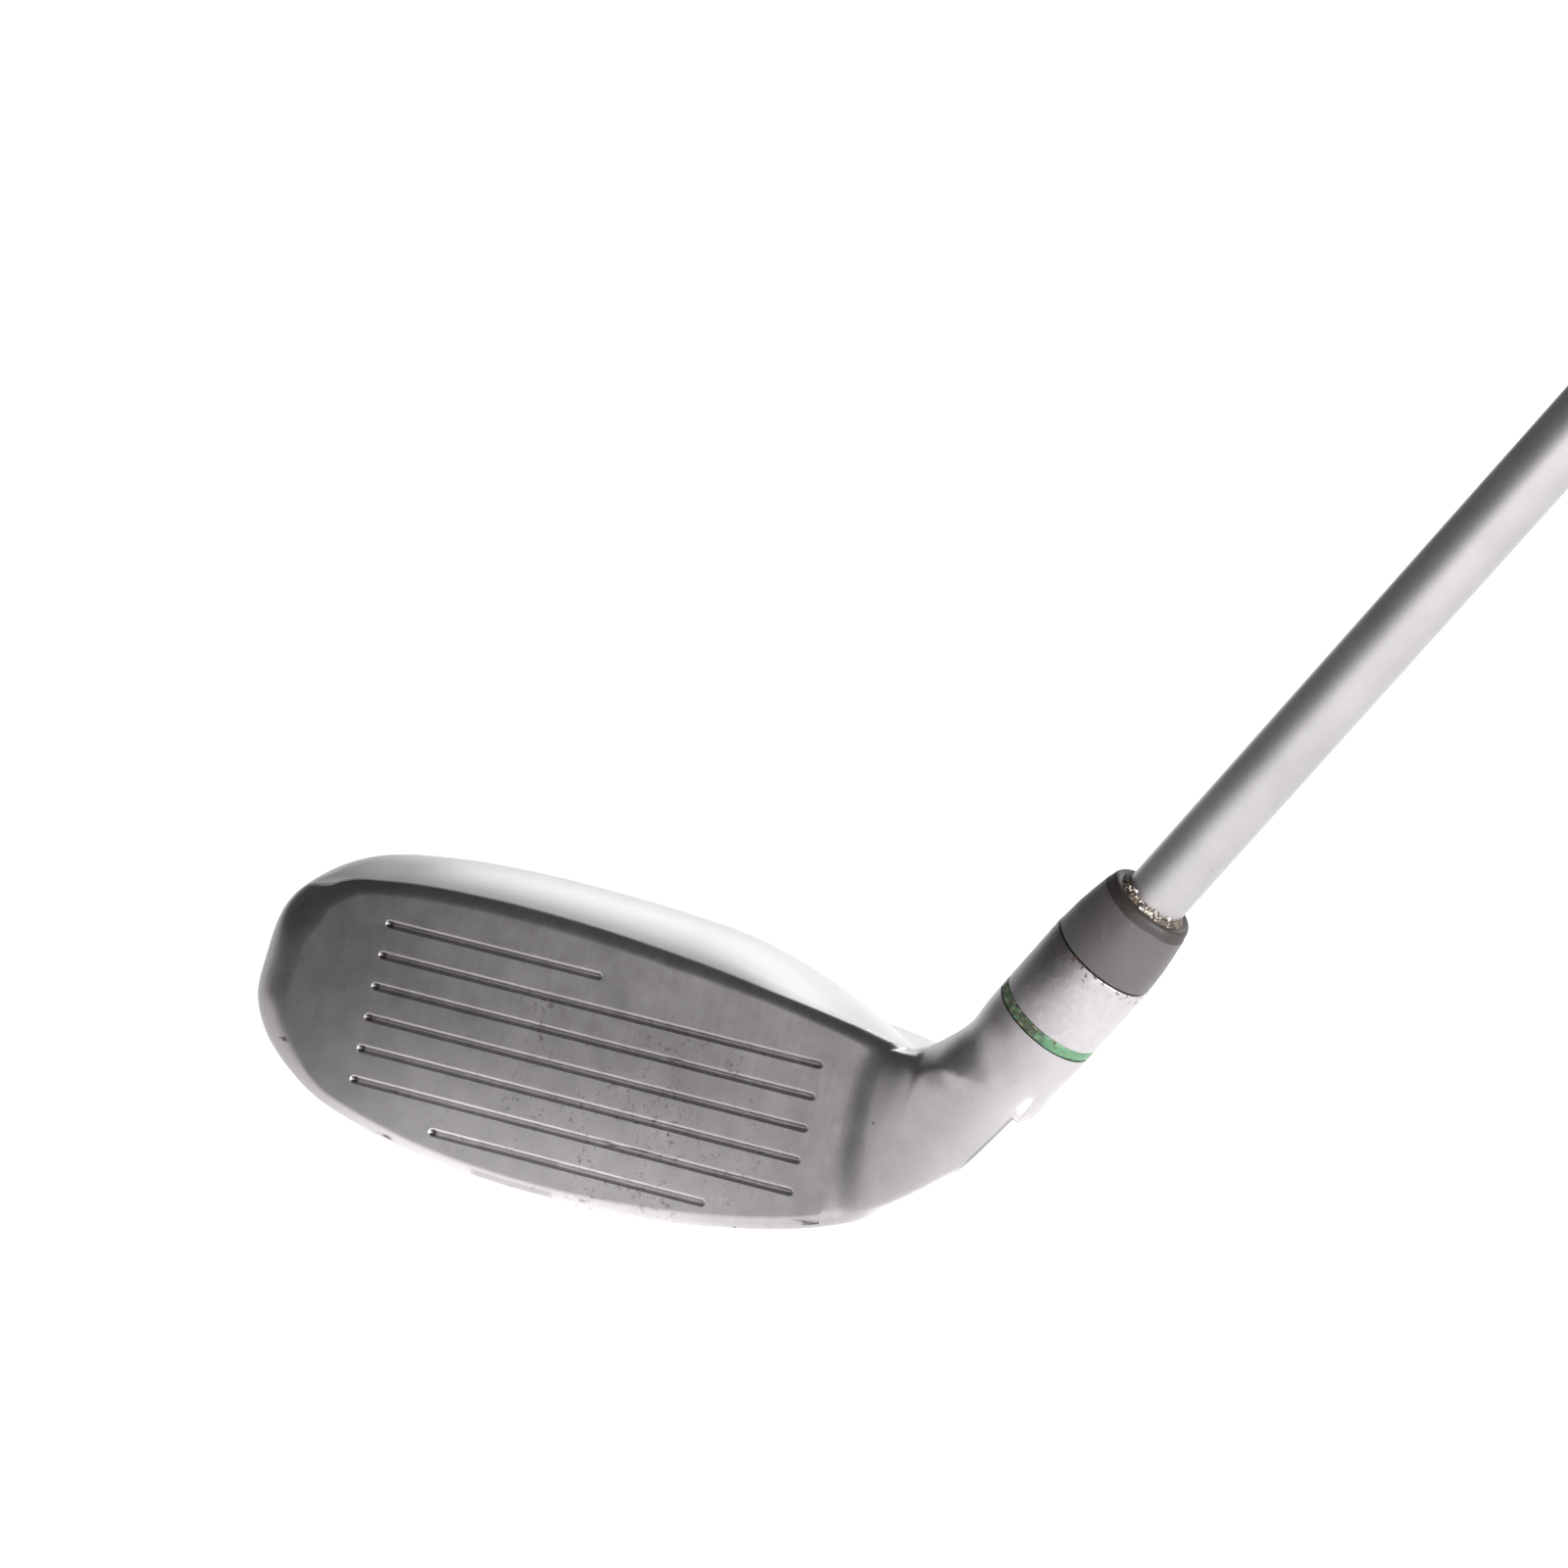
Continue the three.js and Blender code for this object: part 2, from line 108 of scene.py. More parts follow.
def on_face(heelward, upward, outward=0.0):
    heelward, upward, outward = (np.asarray(v, float)[..., None] for v in (heelward, upward, outward))
    return FACE_MIDDLE + heelward * np.array([1.0, 0, 0]) + upward * FACE_UP + outward * FACE_OUT


# %% [markdown]
# ## Mesh helpers
# Most of the club is made of rings of points joined into bands of four-sided faces. A band
# shades smoothly and keeps its loops, so later steps can bend or cut it cleanly.


# %% Building a mesh
def build(name, points, faces):
    """A mesh object from points in millimetres."""
    mesh = bpy.data.meshes.new(name)
    mesh.from_pydata((np.asarray(points, float) * MM).tolist(), [], [list(map(int, f)) for f in faces])
    mesh.validate()
    piece = bpy.data.objects.new(name, mesh)
    bpy.context.scene.collection.objects.link(piece)
    return piece


def bands(ring_count, ring_size):
    """Faces between neighbouring closed rings that are stored one after another."""
    i, j = np.meshgrid(np.arange(ring_size), np.arange(ring_count - 1))
    a = j * ring_size + i
    b = j * ring_size + (i + 1) % ring_size
    return np.stack([a, b, b + ring_size, a + ring_size], -1).reshape(-1, 4).tolist()


def between(low, high, size):
    """Faces between two closed rings, from the numbers of their first points."""
    return [[low + i, low + (i + 1) % size, high + (i + 1) % size, high + i] for i in range(size)]


def outward_normals(piece):
    work = bmesh.new()
    work.from_mesh(piece.data)
    bmesh.ops.recalc_face_normals(work, faces=work.faces)
    work.to_mesh(piece.data)
    work.free()


def shade(piece, sharp_degrees=40):
    for face in piece.data.polygons:
        face.use_smooth = True
    piece.data.set_sharp_from_angle(angle=math.radians(sharp_degrees))
    return piece


def points_of(piece):
    spots = np.empty(len(piece.data.vertices) * 3)
    piece.data.vertices.foreach_get("co", spots)
    return spots.reshape(-1, 3) / MM


def move_points(piece, spots):
    piece.data.vertices.foreach_set("co", (spots * MM).ravel())
    piece.data.update()


def smoothstep(low, high, value):
    share = np.clip((value - low) / (high - low), 0, 1)
    return share * share * (3 - 2 * share)


def turned(name, profile, sides=128, ripple=None):
    """A lathe-turned ring about the shaft line, from a closed profile of (radius, along) pairs."""
    angle = np.linspace(0, 2 * math.pi, sides, endpoint=False)
    profile = np.array(profile, float)
    radius = np.repeat(profile[:, :1], sides, 1)
    along = np.repeat(profile[:, 1:], sides, 1)
    if ripple:
        radius = radius + ripple(angle[None, :], along, radius)
    points = on_shaft(radius, np.broadcast_to(angle, radius.shape), along)
    rings = len(profile)
    faces = bands(rings, sides) + between((rings - 1) * sides, 0, sides)
    piece = build(name, points.reshape(-1, 3), faces)
    outward_normals(piece)
    return piece


def rounded(profile, radius, steps=4):
    """Rounds each corner of a closed profile by a small radius."""
    profile = np.array(profile, float)
    out = []
    for before, corner, after in zip(np.roll(profile, 1, 0), profile, np.roll(profile, -1, 0)):
        to_before, to_after = before - corner, after - corner
        reach = min(radius, 0.45 * np.linalg.norm(to_before), 0.45 * np.linalg.norm(to_after))
        start = corner + to_before / np.linalg.norm(to_before) * reach
        end = corner + to_after / np.linalg.norm(to_after) * reach
        for share in np.linspace(0, 1, steps):
            out.append((1 - share) ** 2 * start + 2 * share * (1 - share) * corner + share ** 2 * end)
    return np.array(out)


# %% [markdown]
# ## The head's outline
# Seen square on to the face, the head is one closed curve: a high toe, a top line that falls
# toward the heel, and a cambered sole. Twenty-one points carry it, and a centripetal Catmull-Rom
# curve runs through them, which never loops or overshoots between uneven points.

# %% Outline curve
OUTLINE = np.array([
    [-50.3, 2.6], [-48.9, 10.4], [-43.4, 15.8], [-33, 18.3], [-20, 19.2], [-4, 18.9], [12, 17.6], [28, 16],
    [44, 14.8], [53, 13.5], [57, 8.5], [54.3, 0.5], [47, -8.1], [37, -13.2], [20, -17.2], [0, -18.9],
    [-18, -18], [-32, -15.1], [-41.2, -11.7], [-47.3, -7.6], [-50.2, -2.6],
])
CURVE_STEPS = 60


def catmull_rom(corners, steps):
    spots = []
    count = len(corners)
    for i in range(count):
        p0, p1, p2, p3 = (corners[(i + k) % count] for k in (-1, 0, 1, 2))
        d0, d1, d2 = (np.linalg.norm(b - a) ** 0.5 for a, b in ((p0, p1), (p1, p2), (p2, p3)))
        slope1 = ((p1 - p0) / d0 - (p2 - p0) / (d0 + d1) + (p2 - p1) / d1) * d1
        slope2 = ((p2 - p1) / d1 - (p3 - p1) / (d1 + d2) + (p3 - p2) / d2) * d1
        t = np.arange(steps)[:, None] / steps
        spots.append(p1 + slope1 * t + (-3 * p1 + 3 * p2 - 2 * slope1 - slope2) * t ** 2
                     + (2 * p1 - 2 * p2 + slope1 + slope2) * t ** 3)
    return np.concatenate(spots)


fine_outline = catmull_rom(OUTLINE, CURVE_STEPS)
strides = np.diff(fine_outline, axis=0, append=fine_outline[:1])
walk = np.concatenate([[0], np.cumsum(np.linalg.norm(strides, axis=1))])
OUTLINE_LENGTH = walk[-1]


def outline(share):
    """Points of the outline at shares of its length, evenly spaced along it."""
    looped = np.concatenate([fine_outline, fine_outline[:1]])
    place = (np.asarray(share) % 1) * OUTLINE_LENGTH
    return np.stack([np.interp(place, walk, looped[:, k]) for k in (0, 1)], -1)


def inward(share):
    """Unit directions that point into the outline."""
    step = 0.002
    run = outline(np.asarray(share) + step) - outline(np.asarray(share) - step)
    run /= np.linalg.norm(run, axis=-1, keepdims=True)
    return np.stack([run[..., 1], -run[..., 0]], -1)


print("outline", round(OUTLINE_LENGTH, 1), "mm round,", np.ptp(OUTLINE[:, 0]).round(1), "mm heel to toe")

# %% [markdown]
# ## The head's skin
# Behind the face, each outline point runs back and closes on the rear of the head. The plan
# is a superellipse, so the toe stays full. The crown falls as a gentle curve and the sole
# dips to the ground before it rises. A rounded rim joins the flat face to this skin.

# %% Skin formula
REAR_X, REAR_Y, REAR_Z = 1.0, 40.0, 14.0     # the rearmost point
REAR_FULLNESS = 0.34
SOLE_DIP = 2.3
TOP_RIM, SOLE_RIM, TOE_RIM = 1.25, 2.4, 6.4  # widths of the rounded rim
HEEL_BEVEL = 3.6
CROWN_RISE = 1.7
HEEL_FALL = 8.6                              # turns the crown's bulge into a hollow at the heel
FALL_START, FALL_RUN = 8.0, 34.0
RIM_STEPS = 13


def skin_ring(share, depth):
    """Skin points at a depth share from 0 at the face to 1 at the rear."""
    flat = outline(share)
    front = on_face(flat[:, 0], flat[:, 1])
    height = front[:, 2] - REAR_Z
    depth = np.broadcast_to(np.asarray(depth, float), height.shape)
    back = np.sqrt(np.maximum(0, 1 - depth ** 6))
    fall = np.where(height > 0, depth ** 1.8, depth ** 2.6)
    left = (1 - REAR_FULLNESS) * (1 - fall) + REAR_FULLNESS * back
    low = np.maximum(0, -height / REAR_Z)
    dip = SOLE_DIP * 6.75 * depth * (1 - depth) ** 2 * low ** 2
    width = np.maximum(0, 1 - depth ** 2.5) ** 0.4
    heel = np.clip((flat[:, 0] - FALL_START) / FALL_RUN, 0, 1) ** 2
    high = smoothstep(0, REAR_Z, height)
    dome = (CROWN_RISE - HEEL_FALL * heel) * (4 * depth * (1 - depth)) ** 0.8 * high
    return np.stack([REAR_X + (front[:, 0] - REAR_X) * width,
                     front[:, 1] + (REAR_Y - front[:, 1]) * depth,
                     REAR_Z + height * left - dip + dome], -1)


def rim_width(share):
    """The rim is crisp along the top line, softer along the sole, and a broad round at the toe."""
    flat = outline(share)
    top = smoothstep(9, 13, flat[:, 1]) * smoothstep(-47, -42, flat[:, 0])
    toe = 1 - smoothstep(-51, -35, flat[:, 0])
    crisp = TOP_RIM + HEEL_BEVEL * np.clip((flat[:, 0] - 20) / 26, 0, 1) ** 2
    width = SOLE_RIM + (crisp - SOLE_RIM) * top
    return width + (TOE_RIM - width) * toe


def rim_depth(share):
    """How deep the rim ends, as a share of the way to the rear."""
    flat = outline(share)
    return rim_width(share) / (REAR_Y - on_face(flat[:, 0], flat[:, 1])[:, 1])


def rim_rings(share):
    """Rings from the flat of the face, over the rounded rim, to the start of the skin."""
    flat, into, width = outline(share), inward(share), rim_width(share)
    corner = on_face(flat[:, 0], flat[:, 1])
    across = on_face(flat[:, 0] + into[:, 0], flat[:, 1] + into[:, 1]) - corner
    behind = skin_ring(share, rim_depth(share)) - corner
    rings = []
    for turn in np.linspace(0, math.pi / 2, RIM_STEPS):
        flat_part = across * (width * (1 - math.sin(turn)))[:, None]
        rings.append(corner + flat_part + behind * (1 - math.cos(turn)))
    return rings


# %% The closed skin, used to fuse and to measure against
def skin_mesh(name, around, deep):
    share = np.arange(around) / around
    rings = rim_rings(share)
    start = rim_depth(share)
    for step in range(1, deep):
        rings.append(skin_ring(share, start + (1 - start) * math.sin(step / deep * math.pi / 2)))
    points = np.concatenate(rings + [skin_ring(share[:1], 1.0), on_face([0], [0])])
    faces = bands(len(rings), around)
    rear, middle = len(points) - 2, len(points) - 1
    last = (len(rings) - 1) * around
    faces += [[last + i, last + (i + 1) % around, rear] for i in range(around)]
    faces += [[(i + 1) % around, i, middle] for i in range(around)]
    piece = build(name, points, faces)
    outward_normals(piece)
    return piece


skin = skin_mesh("skin", 480, 60)
print("skin:", len(skin.data.polygons), "faces")

# %% [markdown]
# ## One casting
# The hosel is a plain tube, and the neck has to melt into the head with no hard line. That
# is hard to lay out ring by ring, so the tube, a convex web and the skin are fused into one
# surface by a coarse voxel remesh. The neck is relaxed while the mesh is still coarse, which
# is quick and gives a wide, even fillet. The front of the neck is then averaged with the face
# beside it, so the flat runs into the neck with no crease. One subdivision brings the fine
# detail back, and every point away from the neck is put exactly on the skin formula.

# %% Hosel sizes
FACE_HEEL = 36.8          # where the face plate and the crown end
band_low, band_high = millimetres_along("hosel_band")
SOLE_EASE = 0.25          # softens the flat on the ground
HOSEL_TOP = 62.0
HOSEL_RADIUS = 7.5
NECK_START = 43.5
COARSE_VOXEL = 0.9
NECK_ROUNDS = 45
FRONT_BLEND = 3.3
print("band", band_low.round(2), band_high.round(2), "hosel top", HOSEL_TOP)


# %% Web
def web():
    """A convex web from the lower hosel to the heel of the skin."""
    angle = np.linspace(0, 2 * math.pi, 64, endpoint=False)
    rings = ((7.8, 41), (8.1, 31))
    spots = [on_shaft(np.full(64, radius), angle, np.full(64, along)) for radius, along in rings]
    share = np.arange(240) / 240
    behind = [skin_ring(share, depth) for depth in (0.1, 0.18, 0.26, 0.34)]
    near = np.concatenate(rim_rings(share)[4:] + behind)
    spots.append(near[near[:, 0] > NECK_START])
    work = bmesh.new()
    for spot in np.concatenate(spots):
        work.verts.new(Vector(spot * MM))
    bmesh.ops.convex_hull(work, input=work.verts)
    bmesh.ops.delete(work, geom=[v for v in work.verts if not v.link_faces], context="VERTS")
    return from_bmesh("web", work)


# %% Tools for fusing
def from_bmesh(name, work):
    mesh = bpy.data.meshes.new(name)
    work.to_mesh(mesh)
    work.free()
    piece = bpy.data.objects.new(name, mesh)
    bpy.context.scene.collection.objects.link(piece)
    return piece


def discard(*pieces):
    for piece in pieces:
        bpy.data.objects.remove(piece)


def joined(name, pieces):
    """One mesh object from several, which are used up."""
    work = bmesh.new()
    for piece in pieces:
        work.from_mesh(piece.data)
    discard(*pieces)
    return from_bmesh(name, work)


def applied(piece, kind, **settings):
    """The piece with one modifier worked into its mesh."""
    modifier = piece.modifiers.new(kind.lower(), kind)
    for key, value in settings.items():
        setattr(modifier, key, value)
    seen = piece.evaluated_get(bpy.context.evaluated_depsgraph_get())
    mesh = bpy.data.meshes.new_from_object(seen)
    piece.modifiers.clear()
    old = piece.data
    piece.data = mesh
    bpy.data.meshes.remove(old)
    return piece


def point_normals(spots, quads):
    """Outward directions at the points of a mesh of four-sided faces."""
    corner = spots[quads]
    way = np.cross(corner[:, 2] - corner[:, 0], corner[:, 3] - corner[:, 1])
    size = len(spots)
    total = np.stack([sum(np.bincount(quads[:, c], way[:, k], size) for c in range(4))
                      for k in range(3)], -1)
    return total / np.maximum(np.linalg.norm(total, axis=1, keepdims=True), 1e-12)


def relax(piece, weight, rounds):
    """Moves each point toward the middle of its neighbours, by its weight, many times over."""
    spots = points_of(piece)
    edges = np.empty(len(piece.data.edges) * 2, int)
    piece.data.edges.foreach_get("vertices", edges)
    a, b = edges.reshape(-1, 2).T
    size = len(spots)
    count = np.bincount(a, minlength=size) + np.bincount(b, minlength=size)
    for _ in range(rounds):
        total = [np.bincount(a, spots[b, k], size) + np.bincount(b, spots[a, k], size) for k in range(3)]
        move = np.stack(total, -1) / count[:, None] - spots
        spots += 0.5 * weight[:, None] * move
    move_points(piece, spots)


def neck_weight(spots):
    """One in the neck, fading to nothing over the head and up the hosel."""
    along = shaft_ruler(spots)[2]
    return smoothstep(39.5, 46, spots[:, 0]) * (1 - smoothstep(42, 49, along))


def front_zone(spots, start, full):
    """The front of the neck below the saddle, from start to full millimetres heelward."""
    along = shaft_ruler(spots)[2]
    low = (1 - smoothstep(42, 50, along)) * (1 - smoothstep(29, 35, spots[:, 2]))
    return smoothstep(start, full, spots[:, 0]) * low


def quads_of(piece):
    return np.array([list(f.vertices) for f in piece.data.polygons])


def blend_front(piece, reach):
    """Averages how far the front stands out of the face plane, over a few millimetres each way.

    Four passes fill the hollow beside the face, so the flat face runs into the neck with no crease.
    """
    spots = points_of(piece)
    facing = smoothstep(0.2, 0.6, point_normals(spots, quads_of(piece)) @ FACE_OUT)
    near = np.flatnonzero((facing > 0) & (spots[:, 0] > FACE_HEEL - 4 * reach) & (spots[:, 1] < 0))
    moved = near[spots[near, 0] > FACE_HEEL - 1]
    weight = front_zone(spots[moved], FACE_HEEL, FACE_HEEL + 11) * facing[moved]
    flat = np.stack([spots[:, 0], (spots - FACE_MIDDLE) @ FACE_UP], -1)
    gap = ((flat[moved, None] - flat[None, near]) ** 2).sum(-1)
    for spread in (0.6 * reach, reach, reach, 0.6 * reach):
        share = np.exp(-gap / (2 * spread ** 2)) * facing[near]
        stand = (spots - FACE_MIDDLE) @ FACE_OUT
        change = (share @ stand[near]) / share.sum(1) - stand[moved]
        spots[moved] += (weight * change)[:, None] * FACE_OUT
    move_points(piece, spots)


def restore(piece, reach):
    """Puts points near the skin or the hosel tube back on them, by how far they are from the neck."""
    tree = BVHTree.FromPolygons(points_of(skin).tolist(), [list(f.vertices) for f in skin.data.polygons])
    spots = points_of(piece)
    facing = smoothstep(0.6, 0.95, point_normals(spots, quads_of(piece)) @ FACE_OUT)
    hold = (1 - neck_weight(spots)) * (1 - facing * front_zone(spots, FACE_HEEL - 0.6, FACE_HEEL))
    for i in np.flatnonzero(hold > 0):
        place, _, _, distance = tree.find_nearest(Vector(spots[i]))
        spots[i] += (np.array(place) - spots[i]) * hold[i] * (1 - smoothstep(0.4 * reach, reach, distance))
    radius, angle, along = shaft_ruler(spots)
    tube = (np.abs(radius - HOSEL_RADIUS) < 1.5) & (along > 41)
    share = smoothstep(41, 48, along[tube])
    spots[tube] = on_shaft(radius[tube] + (HOSEL_RADIUS - radius[tube]) * share, angle[tube], along[tube])
    spots[:, 2] = (spots[:, 2] + np.hypot(spots[:, 2], SOLE_EASE)) / 2
    move_points(piece, spots)


# %% Fuse, relax and refine
tube = turned("tube", [(0.01, 30), (HOSEL_RADIUS, 30), (HOSEL_RADIUS, 56), (0.01, 56)])
skin_copy = build("skin_copy", points_of(skin), [list(f.vertices) for f in skin.data.polygons])
outward_normals(skin_copy)
casting = joined("casting", [skin_copy, web(), tube])
applied(casting, "REMESH", mode="VOXEL", voxel_size=COARSE_VOXEL * MM)
restore(casting, 1.2)
relax(casting, neck_weight(points_of(casting)), NECK_ROUNDS)
blend_front(casting, FRONT_BLEND)
applied(casting, "SUBSURF", levels=1, render_levels=1)
restore(casting, 1.0)
print("casting:", len(casting.data.polygons), "faces")

# %% [markdown]
# ## Cutting the casting into its real pieces
# The real head is welded from a face, a crown and a body. The fused surface is cut along the
# same joints by planes, so the pieces meet flush, and each is then thickened inward into a
# shell. The top of the hosel is cut away too: it is turned, so it is made on the lathe.

# %% Joint planes
FACE_JOINT = 1.3
SEAM_POINT = np.array([0.0, -14.0, 31.0])
SEAM_TILT = math.radians(15)
SEAM_UP = np.array([0.0, math.sin(SEAM_TILT), math.cos(SEAM_TILT)])
BAND_CUT_START = 45.0     # the cut at the band keeps heelward of this
JOINT_POINT = FACE_MIDDLE - FACE_JOINT * FACE_OUT
BAND_FOOT = SHAFT_FOOT + band_low * SHAFT_WAY


def side_of(spot, point, normal):
    """Millimetres from a plane, positive on the side its normal points to."""
    return float((np.array(spot) - point) @ normal)


def in_front(c):
    return c[0] < FACE_HEEL and side_of(c, JOINT_POINT, FACE_OUT) > 0


def above_seam(c):
    return c[0] < FACE_HEEL and side_of(c, SEAM_POINT, SEAM_UP) > 0


def above_band(c):
    return c[0] > BAND_CUT_START and side_of(c, BAND_FOOT, SHAFT_WAY) > 0


# %% Cut and thicken
def cut(work, point, normal, near):
    """Cuts the faces whose middles are near, along a plane."""
    faces = [f for f in work.faces if near(f.calc_center_median() / MM)]
    parts = list({e for f in faces for e in f.edges}) + list({v for f in faces for v in f.verts}) + faces
    bmesh.ops.bisect_plane(work, geom=parts, dist=1e-7, plane_co=Vector(point) * MM, plane_no=Vector(normal))


def split_off(source, name, belongs):
    """A new piece from the faces that belong, taken out of the source."""
    work = bmesh.new()
    work.from_mesh(source.data)
    inside = [belongs(np.array(f.calc_center_median()) / MM) for f in work.faces]
    taken = work.copy()
    bmesh.ops.delete(work, geom=[f for f, yes in zip(list(work.faces), inside) if yes], context="FACES")
    bmesh.ops.delete(taken, geom=[f for f, yes in zip(list(taken.faces), inside) if not yes], context="FACES")
    work.to_mesh(source.data)
    work.free()
    return from_bmesh(name, taken)


work = bmesh.new()
work.from_mesh(casting.data)
cut(work, (FACE_HEEL, 0, 0), (1, 0, 0), lambda c: abs(c[0] - FACE_HEEL) < 1)
for point, normal in ((JOINT_POINT, FACE_OUT), (SEAM_POINT, SEAM_UP)):
    cut(work, point, normal, lambda c: c[0] < FACE_HEEL and abs(side_of(c, point, normal)) < 1)
cut(work, BAND_FOOT, SHAFT_WAY,
    lambda c: c[0] > BAND_CUT_START and abs(side_of(c, BAND_FOOT, SHAFT_WAY)) < 1)
work.to_mesh(casting.data)
work.free()
discard(split_off(casting, "front_skin", in_front), split_off(casting, "tube_end", above_band))
crown_shell = split_off(casting, "crown_shell", above_seam)
for shell, wall in ((crown_shell, 1.2), (casting, 1.6)):
    applied(shell, "SOLIDIFY", thickness=wall * MM, offset=-1)
print("crown", len(crown_shell.data.polygons), "and body", len(casting.data.polygons), "faces")

# %% [markdown]
# ## The sole port
# A small screw closes the port that the foundry weighted the head through. Its hole is cut
# with a boolean, which suits one clean round cut in a shell. The screw is a ring-built head
# whose inner rings turn from a circle into a hexagon, for the key.

# %% Port hole and screw
screw_low, screw_high = (np.array(corner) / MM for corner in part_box("port_screw"))
port = (screw_low + screw_high) / 2
PORT_RADIUS = (screw_high[0] - screw_low[0]) / 2


def upright_ring(radius, height, sides=72, hexagon=0.0):
    """Points round the port's line; hexagon turns the circle into a six-sided ring."""
    angle = np.linspace(0, 2 * math.pi, sides, endpoint=False)
    flat = math.cos(math.pi / 6) / np.cos((angle % (math.pi / 3)) - math.pi / 6)
    reach = radius * (1 - hexagon + hexagon * flat)
    return np.stack([port[0] + reach * np.cos(angle), port[1] + reach * np.sin(angle),
                     np.full(sides, height)], -1)


def upright_solid(name, rings):
    """A solid from rings, closed at both ends."""
    sides = len(rings[0])
    ends = [rings[0].mean(0)[None], rings[-1].mean(0)[None]]
    faces = bands(len(rings), sides)
    low, last = len(rings) * sides, (len(rings) - 1) * sides
    faces += [[(i + 1) % sides, i, low] for i in range(sides)]
    faces += [[last + i, last + (i + 1) % sides, low + 1] for i in range(sides)]
    piece = build(name, np.concatenate(rings + ends), faces)
    outward_normals(piece)
    return piece


PORT_PLAY = 0.12
drill = upright_solid("drill", [upright_ring(PORT_RADIUS + PORT_PLAY, height)
                                for height in (-5, screw_low[2] + 3)])
applied(casting, "BOOLEAN", operation="DIFFERENCE", object=drill, solver="EXACT")
discard(drill)
screw_face = screw_low[2] + 0.12
# Radius, height above the screw's face, and how six-sided the ring is.
SCREW_SECTION = ((PORT_RADIUS - 0.5, 4.5, 0), (PORT_RADIUS, 4, 0), (PORT_RADIUS, 0.35, 0),
                 (PORT_RADIUS - 0.1, 0.12, 0), (PORT_RADIUS - 0.35, 0, 0), (1.75, 0, 1),
                 (1.62, 0.08, 1), (1.55, 0.3, 1), (1.5, 2.2, 1), (1.2, 2.5, 0.4))
screw = upright_solid("port_screw_head", [upright_ring(radius, screw_face + height, hexagon=six)
                                          for radius, height, six in SCREW_SECTION])
print("port at", port.round(2), "body", len(casting.data.polygons))

# %% [markdown]
# ## The scored face
# The face is one flat plate with seven scorelines, a rounded rim, and a step behind that
# sits in the body. The scorelines are true recesses: a constrained triangulation leaves a
# slot-shaped hole for each, and rings run down into it. A support ring beside every curved
# edge keeps the flat perfectly flat when it is smooth shaded.

# %% Scorelines
LINE_PITCH = 4.43
LINE_HALF = 31.9
LINE_ENDS = [(-LINE_HALF, -1.0)] + [(-LINE_HALF, LINE_HALF)] * 5 + [(-19.1, 20.3)]
SLOT_SECTION = ((0.68, 0), (0.63, 0), (0.58, -0.015), (0.53, -0.04),     # radius, depth
                (0.26, -0.24), (0.18, -0.33), (0.08, -0.45))
SLOT_END_STEPS = 9


def slot_ring(left, right, upward, radius, depth):
    """A ring shaped like a slot with round ends, sunk into the face."""
    turn = np.linspace(-math.pi / 2, math.pi / 2, SLOT_END_STEPS)
    along = np.linspace(left, right, 24)[1:-1]
    u = np.concatenate([right + radius * np.cos(turn), along[::-1], left - radius * np.cos(turn), along])
    side = np.full(len(along), radius)
    v = np.concatenate([radius * np.sin(turn), side, -radius * np.sin(turn), -side])
    return np.stack([u, upward + v, np.full(len(u), depth)], -1)


# %% Face plate
FACE_SHARES = 480
FACE_BACK = 2.6


